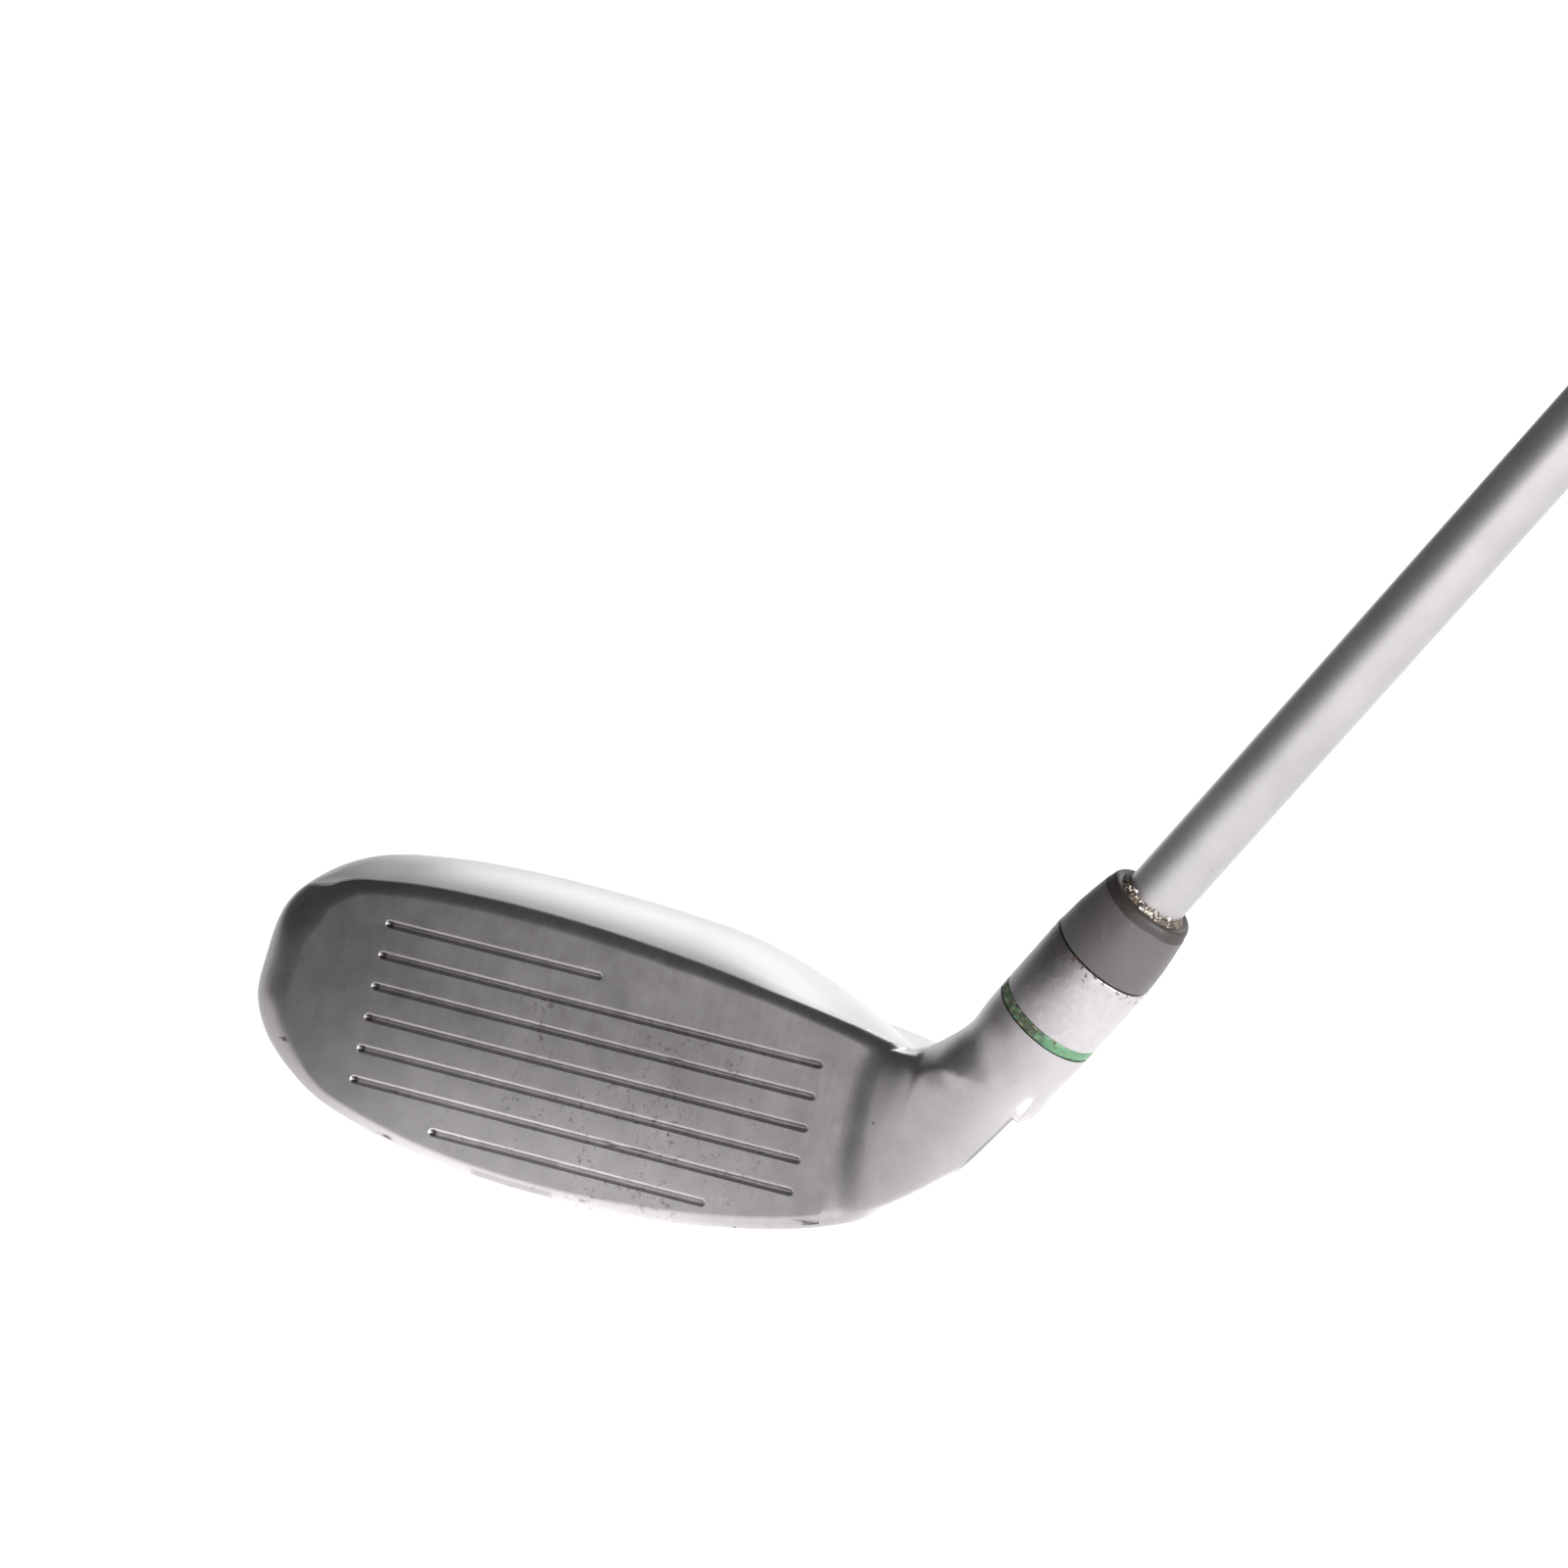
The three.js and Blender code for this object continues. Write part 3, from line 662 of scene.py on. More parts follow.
def face_plate():
    share = np.arange(FACE_SHARES) / FACE_SHARES
    flat, into, width = outline(share), inward(share), rim_width(share)
    edge = flat + into * (width + 0.15)[:, None]
    slots = [[slot_ring(a, b, (3 - i) * LINE_PITCH, r, d) for r, d in SLOT_SECTION]
             for i, (a, b) in enumerate(LINE_ENDS)]
    spots = [edge] + [rings[0][:, :2] for rings in slots]
    loops, start = [], 0
    for ring in spots:
        loops += [(start + i, start + (i + 1) % len(ring)) for i in range(len(ring))]
        start += len(ring)
    flat_points = [Vector(p) for p in np.concatenate(spots)]
    found, _, triangles, source, _, _ = geometry.delaunay_2d_cdt(flat_points, loops, [], 1, 1e-6)
    centres = np.array([np.mean([found[i] for i in t], 0) for t in triangles])
    in_slot = np.zeros(len(triangles), bool)
    for i, (a, b) in enumerate(LINE_ENDS):
        past = np.maximum(0, np.maximum(a - centres[:, 0], centres[:, 0] - b))
        in_slot |= np.hypot(past, centres[:, 1] - (3 - i) * LINE_PITCH) < SLOT_SECTION[0][0] * 0.999
    faces = [[source[i][0] for i in t] for t, inside in zip(triangles, in_slot) if not inside]
    rows = [on_face(*np.concatenate(spots).T)]
    first = len(spots[0])
    end = len(rows[0])
    for rings in slots:
        size = len(rings[0])
        ring_start = [first] + [end + k * size for k in range(len(rings) - 1)]
        for low, high in zip(ring_start, ring_start[1:]):
            faces += between(low, high, size)
        faces.append([ring_start[-1] + i for i in range(size)])
        rows += [on_face(*ring.T) for ring in rings[1:]]
        first += size
        end += size * (len(rings) - 1)
    rim = rim_rings(share)
    path = rim + [skin_ring(share, rim_depth(share) + 0.05)]
    reach = np.stack([-(ring - FACE_MIDDLE) @ FACE_OUT for ring in path])
    path = np.stack(path)
    rings = []
    for level in (1 - np.cos(np.linspace(0, math.pi / 2, 9))) * (FACE_JOINT - 0.01):
        rings.append(np.array([[np.interp(level, reach[:, c], path[:, c, k]) for k in range(3)]
                               for c in range(FACE_SHARES)]))
    step_in = into[:, :1] * np.array([1.0, 0, 0]) + into[:, 1:] * FACE_UP
    rings.append(rings[-1] + 1.3 * step_in)
    rings.append(rings[-1] - (FACE_BACK - FACE_JOINT) * FACE_OUT)
    ring_start = [0] + [end + k * FACE_SHARES for k in range(len(rings))]
    for low, high in zip(ring_start, ring_start[1:]):
        faces += between(low, high, FACE_SHARES)
    faces.append([ring_start[-1] + i for i in range(FACE_SHARES)])
    piece = build("scored_face", np.concatenate(rows + rings), faces)
    outward_normals(piece)
    work = bmesh.new()
    work.from_mesh(piece.data)
    everything = work.verts[:] + work.edges[:] + work.faces[:]
    made = bmesh.ops.bisect_plane(work, geom=everything, dist=1e-7, clear_outer=True,
                                  plane_co=Vector((FACE_HEEL * MM, 0, 0)), plane_no=Vector((1, 0, 0)))
    rim_edges = [e for e in made["geom_cut"] if isinstance(e, bmesh.types.BMEdge)]
    bmesh.ops.edgenet_fill(work, edges=rim_edges)
    work.to_mesh(piece.data)
    work.free()
    return piece


scored_face = face_plate()
print("face:", len(scored_face.data.polygons), "faces, scorelines", len(LINE_ENDS))

# %% [markdown]
# ## Turned pieces
# The top of the hosel, the painted band, the ferrule and the shaft are all round about the
# shaft line, so each is one closed profile spun round it. The corners of the profiles are
# rounded first, because a knife-sharp edge never catches light the way a real one does.

# %% Hosel top with its band groove
BORE_RADIUS = 4.7
BAND_FLOOR = 7.1
hosel_profile = [(6.2, band_low), (BAND_FLOOR, band_low), (BAND_FLOOR, band_high - 0.04),
                 (HOSEL_RADIUS, band_high), (HOSEL_RADIUS, HOSEL_TOP - 0.1),
                 (HOSEL_RADIUS - 0.12, HOSEL_TOP), (BORE_RADIUS + 0.4, HOSEL_TOP),
                 (BORE_RADIUS, HOSEL_TOP - 0.4), (BORE_RADIUS, 40), (6.2, 40)]
hosel_top = turned("hosel_top", rounded(hosel_profile, 0.12), 160)
rng = np.random.default_rng(7)
waves = [(n, rng.uniform(0, 2 * math.pi), rng.uniform(0.4, 1)) for n in (3, 5, 8, 13, 21, 34)]


def worn(angle, along, radius):
    """Shallow chips and swells round the painted band, on its outer face only."""
    wave = sum(size * np.sin(n * angle + turn + along * (0.8 + n * 0.05)) for n, turn, size in waves) / 3
    return np.where(radius > BAND_FLOOR + 0.2, 0.05 * wave - 0.03, 0)


band_profile = [(BAND_FLOOR - 0.03, band_low + 0.05), (7.35, band_low + 0.05), (7.5, band_low + 0.35),
                (7.52, (band_low + band_high) / 2), (7.5, band_high - 0.35), (7.35, band_high - 0.05),
                (BAND_FLOOR - 0.03, band_high - 0.05)]
band = turned("painted_band", rounded(band_profile, 0.15), 240, worn)

# %% Ferrule and shaft
ferrule_low, ferrule_high = millimetres_along("ferrule")
TIP_RADIUS = 4.25
ferrule_profile = [
    (TIP_RADIUS + 0.1, ferrule_low), (HOSEL_RADIUS - 0.25, ferrule_low),
    (HOSEL_RADIUS - 0.1, ferrule_low + 0.15), (7.2, ferrule_low + 3.5), (6.86, ferrule_low + 6),
    (6.5, ferrule_low + 8.3), (6.44, ferrule_low + 8.6), (6.34, ferrule_low + 8.75),
    (6.16, ferrule_high - 0.5), (5.9, ferrule_high - 0.1), (5.6, ferrule_high),
    (4.8, ferrule_high - 0.15), (TIP_RADIUS + 0.1, ferrule_high - 0.6),
]
ferrule = turned("ferrule_ring", rounded(ferrule_profile, 0.25), 160)
tip_end, shaft_end = millimetres_along("shaft")
FIRST_STEP = 260.0
STEP_PITCH = 38.1
STEP_COUNT = 16
BUTT_RADIUS = 7.6
TUBE_WALL = 0.45
STEP_RISE = (BUTT_RADIUS - TIP_RADIUS) / STEP_COUNT


def shaft_profile():
    """The outside climbs in small steps; the inside is a plain taper."""
    outside = [(TIP_RADIUS, along) for along in np.linspace(tip_end, tip_end + FIRST_STEP - 2, 12)]
    for i in range(STEP_COUNT):
        foot = tip_end + FIRST_STEP + i * STEP_PITCH
        low = TIP_RADIUS + i * STEP_RISE
        for share in (0, 0.15, 0.5, 0.85, 1):
            outside.append((low + STEP_RISE * smoothstep(0, 1, share), foot + 1.4 * share))
    outside.append((BUTT_RADIUS, shaft_end))
    last = tip_end + FIRST_STEP + STEP_COUNT * STEP_PITCH
    inside = [(BUTT_RADIUS - TUBE_WALL, shaft_end), (BUTT_RADIUS - TUBE_WALL, last),
              (TIP_RADIUS - TUBE_WALL, tip_end + FIRST_STEP), (TIP_RADIUS - TUBE_WALL, tip_end)]
    return outside + inside


shaft = turned("stepped_shaft", shaft_profile(), 160)
print("ferrule", round(ferrule_high - ferrule_low, 2), "mm, shaft", round(shaft_end - tip_end, 1), "mm long")

# %% [markdown]
# ## Old glue at the ferrule
# Where the shaft enters the ferrule, a thin bead of old epoxy has crept out and caught sand.
# The bead is a turned ring with an uneven surface. The grains are many small lumps, each a
# bent icosphere of its own size, scattered round the bead from a fixed seed.

# %% Glue bead and grains
grit_rng = np.random.default_rng(21)


def creep(angle, along, radius):
    swell = 0.5 + 0.5 * np.sin(3 * angle + 0.6) * np.sin(7 * angle + 2.1)
    return np.where(radius > TIP_RADIUS + 0.2, 0.22 * swell, 0)


bead_foot = ferrule_high - 0.75
bead_profile = [(TIP_RADIUS + 0.02, bead_foot), (5.0, bead_foot), (4.95, bead_foot + 0.5),
                (4.6, bead_foot + 0.95), (TIP_RADIUS + 0.02, bead_foot + 1.35)]
bead = turned("glue_bead", rounded(bead_profile, 0.3), 200, creep)


def grains(name, count, pick):
    """Small uneven lumps at the places that pick gives, each a few tenths of a millimetre."""
    points, faces = [], []
    seed_ball = bmesh.new()
    bmesh.ops.create_icosphere(seed_ball, subdivisions=2, radius=1)
    ball = np.array([v.co for v in seed_ball.verts])
    ball_faces = np.array([[v.index for v in f.verts] for f in seed_ball.faces])
    seed_ball.free()
    for i in range(count):
        radius, angle, along, size = pick()
        bend = 1 + 0.35 * np.sin(ball @ grit_rng.normal(0, 2.2, 3) + grit_rng.uniform(0, 6))
        lump = ball * bend[:, None] * size * grit_rng.uniform(0.6, 1.2, 3)
        points.append(on_shaft(radius, angle, along) + lump)
        faces.append(ball_faces + i * len(ball))
    return build(name, np.concatenate(points), np.concatenate(faces))


def on_bead():
    rise = grit_rng.uniform(0, 1) ** 1.6
    return (5.05 - 0.75 * rise + grit_rng.normal(0, 0.06), grit_rng.normal(-0.1, 0.5),
            bead_foot + 0.45 + 1.1 * rise, grit_rng.uniform(0.06, 0.2))


sand = grains("sand_grains", 120, on_bead)
print("grains:", len(sand.data.polygons), "faces")

# %% [markdown]
# ## The grip
# A rubber grip is moulded over the butt of the shaft. It swells from a thin mouth to a thick
# butt. Its tread is moulded in: two sets of grooves wind round it in opposite ways and leave
# raised diamonds, with plain collars at each end and a plain stripe down the back as a guide
# for the hands. The tread is real depth, so it is laid on a fine grid of rings.

# %% Grip
grip_low, grip_high = millimetres_along("grip")
GRIP_SIDES = 216
GRIP_RINGS = 560
GRIP_BORE = 8.0
TREAD_DEPTH = 0.34
TREAD_TURNS = 9
TREAD_PITCH = 46.0
COLLAR = 16.0


def grip_radius(along):
    """Outside of the grip before the tread, from the mouth up to the butt."""
    stations = [grip_low, grip_low + 1.2, grip_low + 8, grip_high - 40, grip_high - 10, grip_high]
    return np.interp(along, stations, [8.3, 8.9, 9.2, 12.4, 13.2, 13.2])


def groove(phase, width):
    """One at the middle of a groove that repeats with every whole phase, nothing outside it."""
    away = np.abs((phase + 0.5) % 1 - 0.5)
    return 1 - smoothstep(0.5 * width, width, away)


def tread(angle, along):
    """Depth of the moulded grooves, from nothing to one."""
    def off_ends(low, high):
        return smoothstep(low, high, along - grip_low) * smoothstep(low, high, grip_high - along)

    turn = angle / (2 * math.pi) * TREAD_TURNS
    wind = (along - grip_low) / TREAD_PITCH * TREAD_TURNS
    cross = np.maximum(groove(turn + wind, 0.085), groove(turn - wind, 0.085))
    inside = off_ends(COLLAR - 1, COLLAR)
    stripe = smoothstep(0.16, 0.2, np.abs((angle + math.pi) % (2 * math.pi) - math.pi) / math.pi)
    collar_rings = groove((along - grip_low) / 4.0, 0.1) * (1 - inside) * off_ends(2, 3)
    stripe_edge = groove(np.minimum(0.5, np.abs(stripe - 0.5) * 4), 0.35) * inside
    return np.maximum(np.maximum(cross * inside * stripe, collar_rings), stripe_edge)


def moulding(angle, along, radius):
    """The tread, pressed into the outside only."""
    return np.where(radius > GRIP_BORE + 0.1, -TREAD_DEPTH * tread(angle, along), 0)


grip_along = np.linspace(grip_low, grip_high, GRIP_RINGS)
grip_profile = np.concatenate([np.stack([grip_radius(grip_along), grip_along], -1),
                               [(GRIP_BORE, grip_high), (GRIP_BORE, grip_low)]])
grip = turned("moulded_grip", grip_profile, GRIP_SIDES, moulding)
cap_low, cap_high = millimetres_along("grip_cap")
CAP_RADIUS = 13.9
VENT_RADIUS = 2.0
cap_profile = [
    (VENT_RADIUS, cap_low), (CAP_RADIUS - 0.5, cap_low), (CAP_RADIUS, cap_low + 0.5),
    (CAP_RADIUS, cap_high - 1.7), (CAP_RADIUS - 0.5, cap_high - 0.7), (CAP_RADIUS - 1.9, cap_high),
    (10.6, cap_high), (10.4, cap_high - 0.3), (9.9, cap_high - 0.3), (9.7, cap_high),
    (VENT_RADIUS + 1.2, cap_high), (VENT_RADIUS + 0.9, cap_high - 0.35),
    (VENT_RADIUS, cap_high - 0.5),
]
cap = turned("butt_cap", rounded(cap_profile, 0.2), 160)
print("grip", round(grip_high - grip_low), "mm long,", len(grip.data.polygons), "faces")

# %% [markdown]
# ## Shader maths
# The finishes are written as sums. `Wire` wraps one socket, and its operators add Math nodes.
# `Finish` owns one material, and its `add` method makes any other node from its type, its
# settings and its inputs. Textures are measured in millimetres on the piece itself, so the
# grain has the same real size everywhere.


# %% Wire and Finish
class Wire:
    """One socket of a material, with arithmetic that adds Math nodes."""

    def __init__(self, finish, socket):
        self.finish, self.socket = finish, socket

    def _maths(self, operation, first, second):
        return self.finish.add("ShaderNodeMath", {"operation": operation}, {0: first, 1: second})

    def __add__(self, other):
        return self._maths("ADD", self, other)

    def __sub__(self, other):
        return self._maths("SUBTRACT", self, other)

    def __rsub__(self, other):
        return self._maths("SUBTRACT", other, self)

    def __mul__(self, other):
        return self._maths("MULTIPLY", self, other)

    def __gt__(self, other):
        return self._maths("GREATER_THAN", self, other)

    __radd__ = __add__
    __rmul__ = __mul__

    def beside(self, output):
        """Another output of the same node."""
        return Wire(self.finish, self.socket.node.outputs[output])


class Finish:
    """One procedural material, built on the Principled shader."""

    def __init__(self, name, **constants):
        self.material = bpy.data.materials.new(name)
        self.material.use_nodes = True
        self.tree = self.material.node_tree
        self.shader = self.tree.nodes["Principled BSDF"]
        for key, value in constants.items():
            self.shader.inputs[key.replace("_", " ")].default_value = value
        where = self.add("ShaderNodeTexCoord", {}, {}, "Object")
        self.spot = self.add("ShaderNodeVectorMath", {"operation": "SCALE"}, {0: where, "Scale": 1 / MM})

    def add(self, kind, settings, inputs, output=0):
        """A node from its type, its settings, and the values or wires of its inputs."""
        node = self.tree.nodes.new(kind)
        for key, value in settings.items():
            setattr(node, key, value)
        for key, value in inputs.items():
            if isinstance(value, Wire):
                self.tree.links.new(value.socket, node.inputs[key])
            else:
                node.inputs[key].default_value = value
        return Wire(self, node.outputs[output])

    def along(self, way, origin=(0, 0, 0)):
        """How far each spot lies along a direction from an origin, in millimetres."""
        offset = float(np.dot(way, origin))
        return self.add("ShaderNodeVectorMath", {"operation": "DOT_PRODUCT"},
                        {0: self.spot, 1: tuple(map(float, way))}, "Value") - offset

    def stretched(self, scale):
        return self.add("ShaderNodeVectorMath", {"operation": "MULTIPLY"}, {0: self.spot, 1: scale})

    def noise(self, size, detail=3.0, roughness=0.5, where=None, seed=0.0):
        """Smooth noise with features of about this size, between 0 and 1."""
        moved = self.add("ShaderNodeVectorMath", {"operation": "ADD"},
                         {0: where or self.spot, 1: (seed, seed, seed)})
        return self.add("ShaderNodeTexNoise", {}, {"Vector": moved, "Scale": 1 / size, "Detail": detail,
                                                   "Roughness": roughness}, "Fac")

    def patches(self, low, high, *look, **more):
        """Noise cut into soft-edged patches between two levels."""
        return self.step(self.noise(*look, **more), low, high)

    def step(self, value, low, high):
        """Nothing below low, one above high, and a smooth climb between."""
        return self.add("ShaderNodeMapRange", {"interpolation_type": "SMOOTHSTEP"},
                        {"Value": value, 1: low, 2: high, 3: 0.0, 4: 1.0})

    def least(self, first, second):
        return self.add("ShaderNodeMath", {"operation": "MINIMUM"}, {0: first, 1: second})

    def most(self, first, second):
        return self.add("ShaderNodeMath", {"operation": "MAXIMUM"}, {0: first, 1: second})

    def specks(self, spacing, size, share, seed=0.0):
        """Small round flecks in some cells of a scattered grid."""
        moved = self.add("ShaderNodeVectorMath", {"operation": "ADD"}, {0: self.spot, 1: (seed, -seed, seed)})
        cell = self.add("ShaderNodeTexVoronoi", {}, {"Vector": moved, "Scale": 1 / spacing}, "Distance")
        chance = self.add("ShaderNodeSeparateColor", {}, {0: cell.beside("Color")})
        near = 1 - self.step(cell * spacing, size * 0.6, size)
        return near * (chance > 1 - share)

    def mix(self, share, first, second):
        """Colours go through Mix: first where the share is 0, second where it is 1."""
        return self.add("ShaderNodeMix", {"data_type": "RGBA"}, {0: share, 6: first, 7: second}, 2)

    def relief(self, height, depth, strength=1.0):
        """Fine relief as a bump, its depth in millimetres."""
        normal = self.add("ShaderNodeBump", {},
                          {"Height": height, "Distance": depth * MM, "Strength": strength})
        self.tree.links.new(normal.socket, self.shader.inputs["Normal"])

    def paint(self, **wires):
        """Feeds the shader's varying inputs."""
        for key, wire in wires.items():
            self.tree.links.new(wire.socket, self.shader.inputs[key.replace("_", " ")])


def rgb(red, green, blue):
    """A colour from 0 to 255 display values, as linear light."""
    def linear(value):
        value /= 255
        return value / 12.92 if value <= 0.04045 else ((value + 0.055) / 1.055) ** 2.4
    return (linear(red), linear(green), linear(blue), 1.0)


# %% [markdown]
# ## Steel that has been blasted and played
# The head is cast stainless steel with a fine bead-blasted surface. Its colour is painted paler
# toward the sole, a painted highlight for light from below, and darker at the toe, a painted
# shade. Play has left small dark marks. One function gives these tones to the face, the body
# and the hosel, so the tone runs on across their joints.

# %% Blasted steel
STEEL_LIGHT = rgb(176, 172, 174)
STEEL_DARK = rgb(150, 146, 149)
# painted highlight: paler steel toward the sole stands for light from below
STEEL_PAINTED_LOW_LIGHT = rgb(226, 222, 224)
# painted shade: darker steel at the toe
STEEL_PAINTED_TOE_SHADE = rgb(104, 100, 104)
STEEL_PAINTED_LIT_SIDE = rgb(232, 228, 230)     # painted highlight on the side of the neck away from the toe
SOIL = rgb(64, 52, 44)


def blasted(finish, face_streaks=0.0):
    """Colour and roughness shared by the head's bare steel, with painted light toward the sole and painted
    shade at the toe, before any marks.
    """
    cloud = finish.noise(14, 4, 0.55)
    patch = finish.noise(3.1, 5, 0.6, seed=7)
    grain = finish.noise(0.28, 2, 0.6, seed=3)
    tone = 0.55 * cloud + 0.35 * patch + 0.25 * grain
    if face_streaks:
        streak = finish.noise(1, 3, 0.6, finish.stretched((1 / 0.9, 1 / 9.0, 1 / 9.0)), seed=11)
        tone = tone + face_streaks * (streak - 0.5)
    colour = finish.mix(finish.step(tone, 0.3, 0.85), STEEL_DARK, STEEL_LIGHT)
    upward, heelward = finish.along(FACE_UP, FACE_MIDDLE), finish.along((1, 0, 0))
    # painted highlight: paler toward the sole, and less so toward the heel
    painted_low_light = finish.step(upward, 8, -19) * (1 - finish.step(upward, -18, -26)) * 0.85
    painted_low_light = painted_low_light * (1 - 0.85 * finish.step(heelward, -4, 42))
    # painted shade: darker toward the toe
    painted_toe_shade = 1 - finish.step(heelward - 0.3 * upward, -44, -12)
    colour = finish.mix(painted_low_light, colour, STEEL_PAINTED_LOW_LIGHT)
    colour = finish.mix(painted_toe_shade * 0.55, colour, STEEL_PAINTED_TOE_SHADE)
    rough = 0.33 + 0.08 * (patch - 0.5) + 0.06 * (grain - 0.5)
    return colour, rough, grain, patch


def marked(finish, colour, rough):
    """Adds small dark flecks and soft soil to steel."""
    flecks = finish.most(finish.specks(5.5, 0.28, 0.35, 2), finish.specks(2.2, 0.11, 0.3, 9))
    smudge = (finish.patches(0.64, 0.76, 2.6, 5, 0.7, seed=20)
              * finish.patches(0.5, 0.62, 9, 2, 0.5, seed=31))
    soil = finish.least(flecks * 0.75 + smudge * 0.3, 1.0)
    return finish.mix(soil, colour, SOIL), rough + soil * 0.2, soil


def face_finish():
    finish = Finish("scored_face_steel", Metallic=1.0)
    colour, rough, grain, patch = blasted(finish, 0.3)
    upward = finish.along(FACE_UP, FACE_MIDDLE)
    heelward = finish.along((1, 0, 0))
    colour, rough, soil = marked(finish, colour, rough)
    play = (finish.patches(0.555, 0.6, 0.9, 5, 0.75, seed=71)
            * finish.patches(0.45, 0.56, 8, 3, 0.6, seed=72))
    in_play = finish.step(heelward, -26, -8) * (1 - finish.step(heelward, 22, 34))
    in_play = in_play * (1 - finish.step(upward, 7, 12))
    soil = finish.least(soil + play * in_play * 0.6, 1.0)
    colour = finish.mix(play * in_play * 0.5, colour, SOIL)
    behind = finish.along(-FACE_OUT, FACE_MIDDLE)
    in_groove = finish.step(behind, 0.02, 0.16) * (1 - finish.step(behind, 0.5, 0.56))
    low_line = 1 - finish.step(upward, -12, -11.5)
    from_end = heelward - 12.8 * low_line
    left_end = finish.step(from_end, -33, -32.8) * (1 - finish.step(from_end, -31.7, -31.1))
    left_end = left_end * finish.step(upward, -14.3, -14) * (1 - finish.step(upward, 14, 14.3))
    # painted shade: the scorelines darkened inside their toe ends
    colour = finish.mix(left_end * in_groove * 0.8, colour, rgb(70, 68, 70))
    caked = finish.patches(0.6, 0.68, 3.2, 4, 0.6, finish.stretched((0.3, 1, 1)), seed=42)
    lowest = low_line * finish.step(heelward, -13, -12) * (1 - finish.step(heelward, -1, 0))
    caked = finish.most(caked * (1 - finish.step(upward, 12.8, 13)), lowest * (0.4 + caked)) * in_groove
    colour = finish.mix(caked * 0.8, colour, SOIL)
    finish.paint(Base_Color=colour, Roughness=finish.least(rough + caked * 0.3, 0.9))
    finish.relief(grain + 0.4 * patch - soil * 0.5, 0.012, 0.6)
    return finish.material


# %% [markdown]
# ## White paint over steel
# The crown is painted gloss white. The paint runs on past the welded joint, over the skirt
# and round the back of the neck, and stops at a masked line. The finish is worked out from
# distances to the face plane and the shaft line, so one rule covers both pieces.

# %% Crown paint
PAINT_WHITE = rgb(243, 243, 244)
# painted shadow along the raised edge of the paint
PAINT_EDGE_SHADOW = rgb(120, 118, 122)
SKIRT_HEIGHT = 8.5


def paint_mask(finish):
    """Over one where paint is, below zero where steel is, climbing by millimetres between."""
    behind = finish.along(-FACE_OUT, FACE_MIDDLE)
    heelward = finish.along((1, 0, 0))
    height = finish.along((0, 0, 1))
    out = finish.along(OUTWARD, SHAFT_FOOT)
    rear = finish.along(-FORWARD, SHAFT_FOOT)
    up_shaft = finish.along(SHAFT_WAY, SHAFT_FOOT)
    toe = 1 - finish.step(heelward + 0.15 * height, -46, -36)
    low = 1 - finish.step(height, 24, 29)
    front_line = 1.3 + 5 * toe + 1.6 * low + 0.6 * finish.most(heelward - 40, 0)
    head = finish.least(behind - front_line, height - SKIRT_HEIGHT)
    head = finish.least(head, 46 - heelward)
    outer = out - (4.1 + 0.06 * (up_shaft - 26))
    back = rear - 5.6
    neck = finish.least(finish.most(outer, back), height - SKIRT_HEIGHT)
    corner = finish.least(finish.least(neck, 38.6 - up_shaft), heelward - 43)
    return finish.most(head, corner)


def paint_over(finish, colour, rough, mask):
    """White paint with orange peel, small scuffs and a painted edge shadow as a grey line, over what is
    there.
    """
    edge = finish.step(mask, -0.1, 0.02)
    # painted shadow: a thin grey line just inside the paint's edge
    line = edge * (1 - finish.step(mask, 0.16, 0.4))
    dust = finish.patches(0.68, 0.78, 0.9, 4, 0.7, seed=5) * finish.patches(0.5, 0.6, 7, 2, seed=15)
    white = finish.mix(dust * 0.25, PAINT_WHITE, SOIL)
    white = finish.mix(line * 0.85, white, PAINT_EDGE_SHADOW)
    return finish.mix(edge, colour, white), rough * (1 - edge) + edge * (0.34 + dust * 0.3), edge


def body_finish():
    finish = Finish("body_steel_and_paint", Coat_Roughness=0.22)
    colour, rough, grain, patch = blasted(finish)
    colour, rough, soil = marked(finish, colour, rough)
    up_shaft = finish.along(SHAFT_WAY, SHAFT_FOOT)
    stain = finish.patches(0.52, 0.72, 1.5, 5, 0.72, seed=52) * finish.step(up_shaft, 30, 44)
    colour = finish.mix(stain * 0.3, colour, rgb(140, 118, 108))
    away = finish.along(OUTWARD, SHAFT_FOOT)
    # painted highlight: the neck lighter on the side away from the toe
    colour = finish.mix(finish.step(away, -3, 6) * 0.42, colour, STEEL_PAINTED_LIT_SIDE)
    colour, rough, edge = paint_over(finish, colour, rough, paint_mask(finish))
    finish.paint(Base_Color=colour, Roughness=rough, Metallic=1 - edge, Coat_Weight=edge * 0.25)
    peel = finish.noise(1.6, 2, 0.5, seed=8)
    bare = (grain + 0.4 * patch - soil * 0.5) * 0.12
    finish.relief(bare * (1 - edge) + edge * (1 + peel * 0.05), 0.06, 0.7)
    return finish.material


def crown_finish():
    finish = Finish("crown_white_paint", Coat_Roughness=0.35)
    colour, rough, grain, patch = blasted(finish)
    colour, rough, edge = paint_over(finish, colour, rough, paint_mask(finish))
    behind, heelward = finish.along(-FACE_OUT, FACE_MIDDLE), finish.along((1, 0, 0))
    # painted shade: the white greyed near the top line, where the crown turns toward the front
    painted_topline_shade = (1 - finish.step(behind, 0.8, 5.5)) * (0.5 + 0.3 * finish.step(heelward, -5, 25)) * edge
    colour = finish.mix(painted_topline_shade, colour, rgb(160, 159, 163))
    peel = finish.noise(1.6, 2, 0.5, seed=8)
    finish.paint(Base_Color=colour, Roughness=rough, Metallic=1 - edge, Coat_Weight=edge * 0.25)
    finish.relief(grain * 0.12 * (1 - edge) + peel * 0.05 * edge, 0.06, 0.6)
    return finish.material


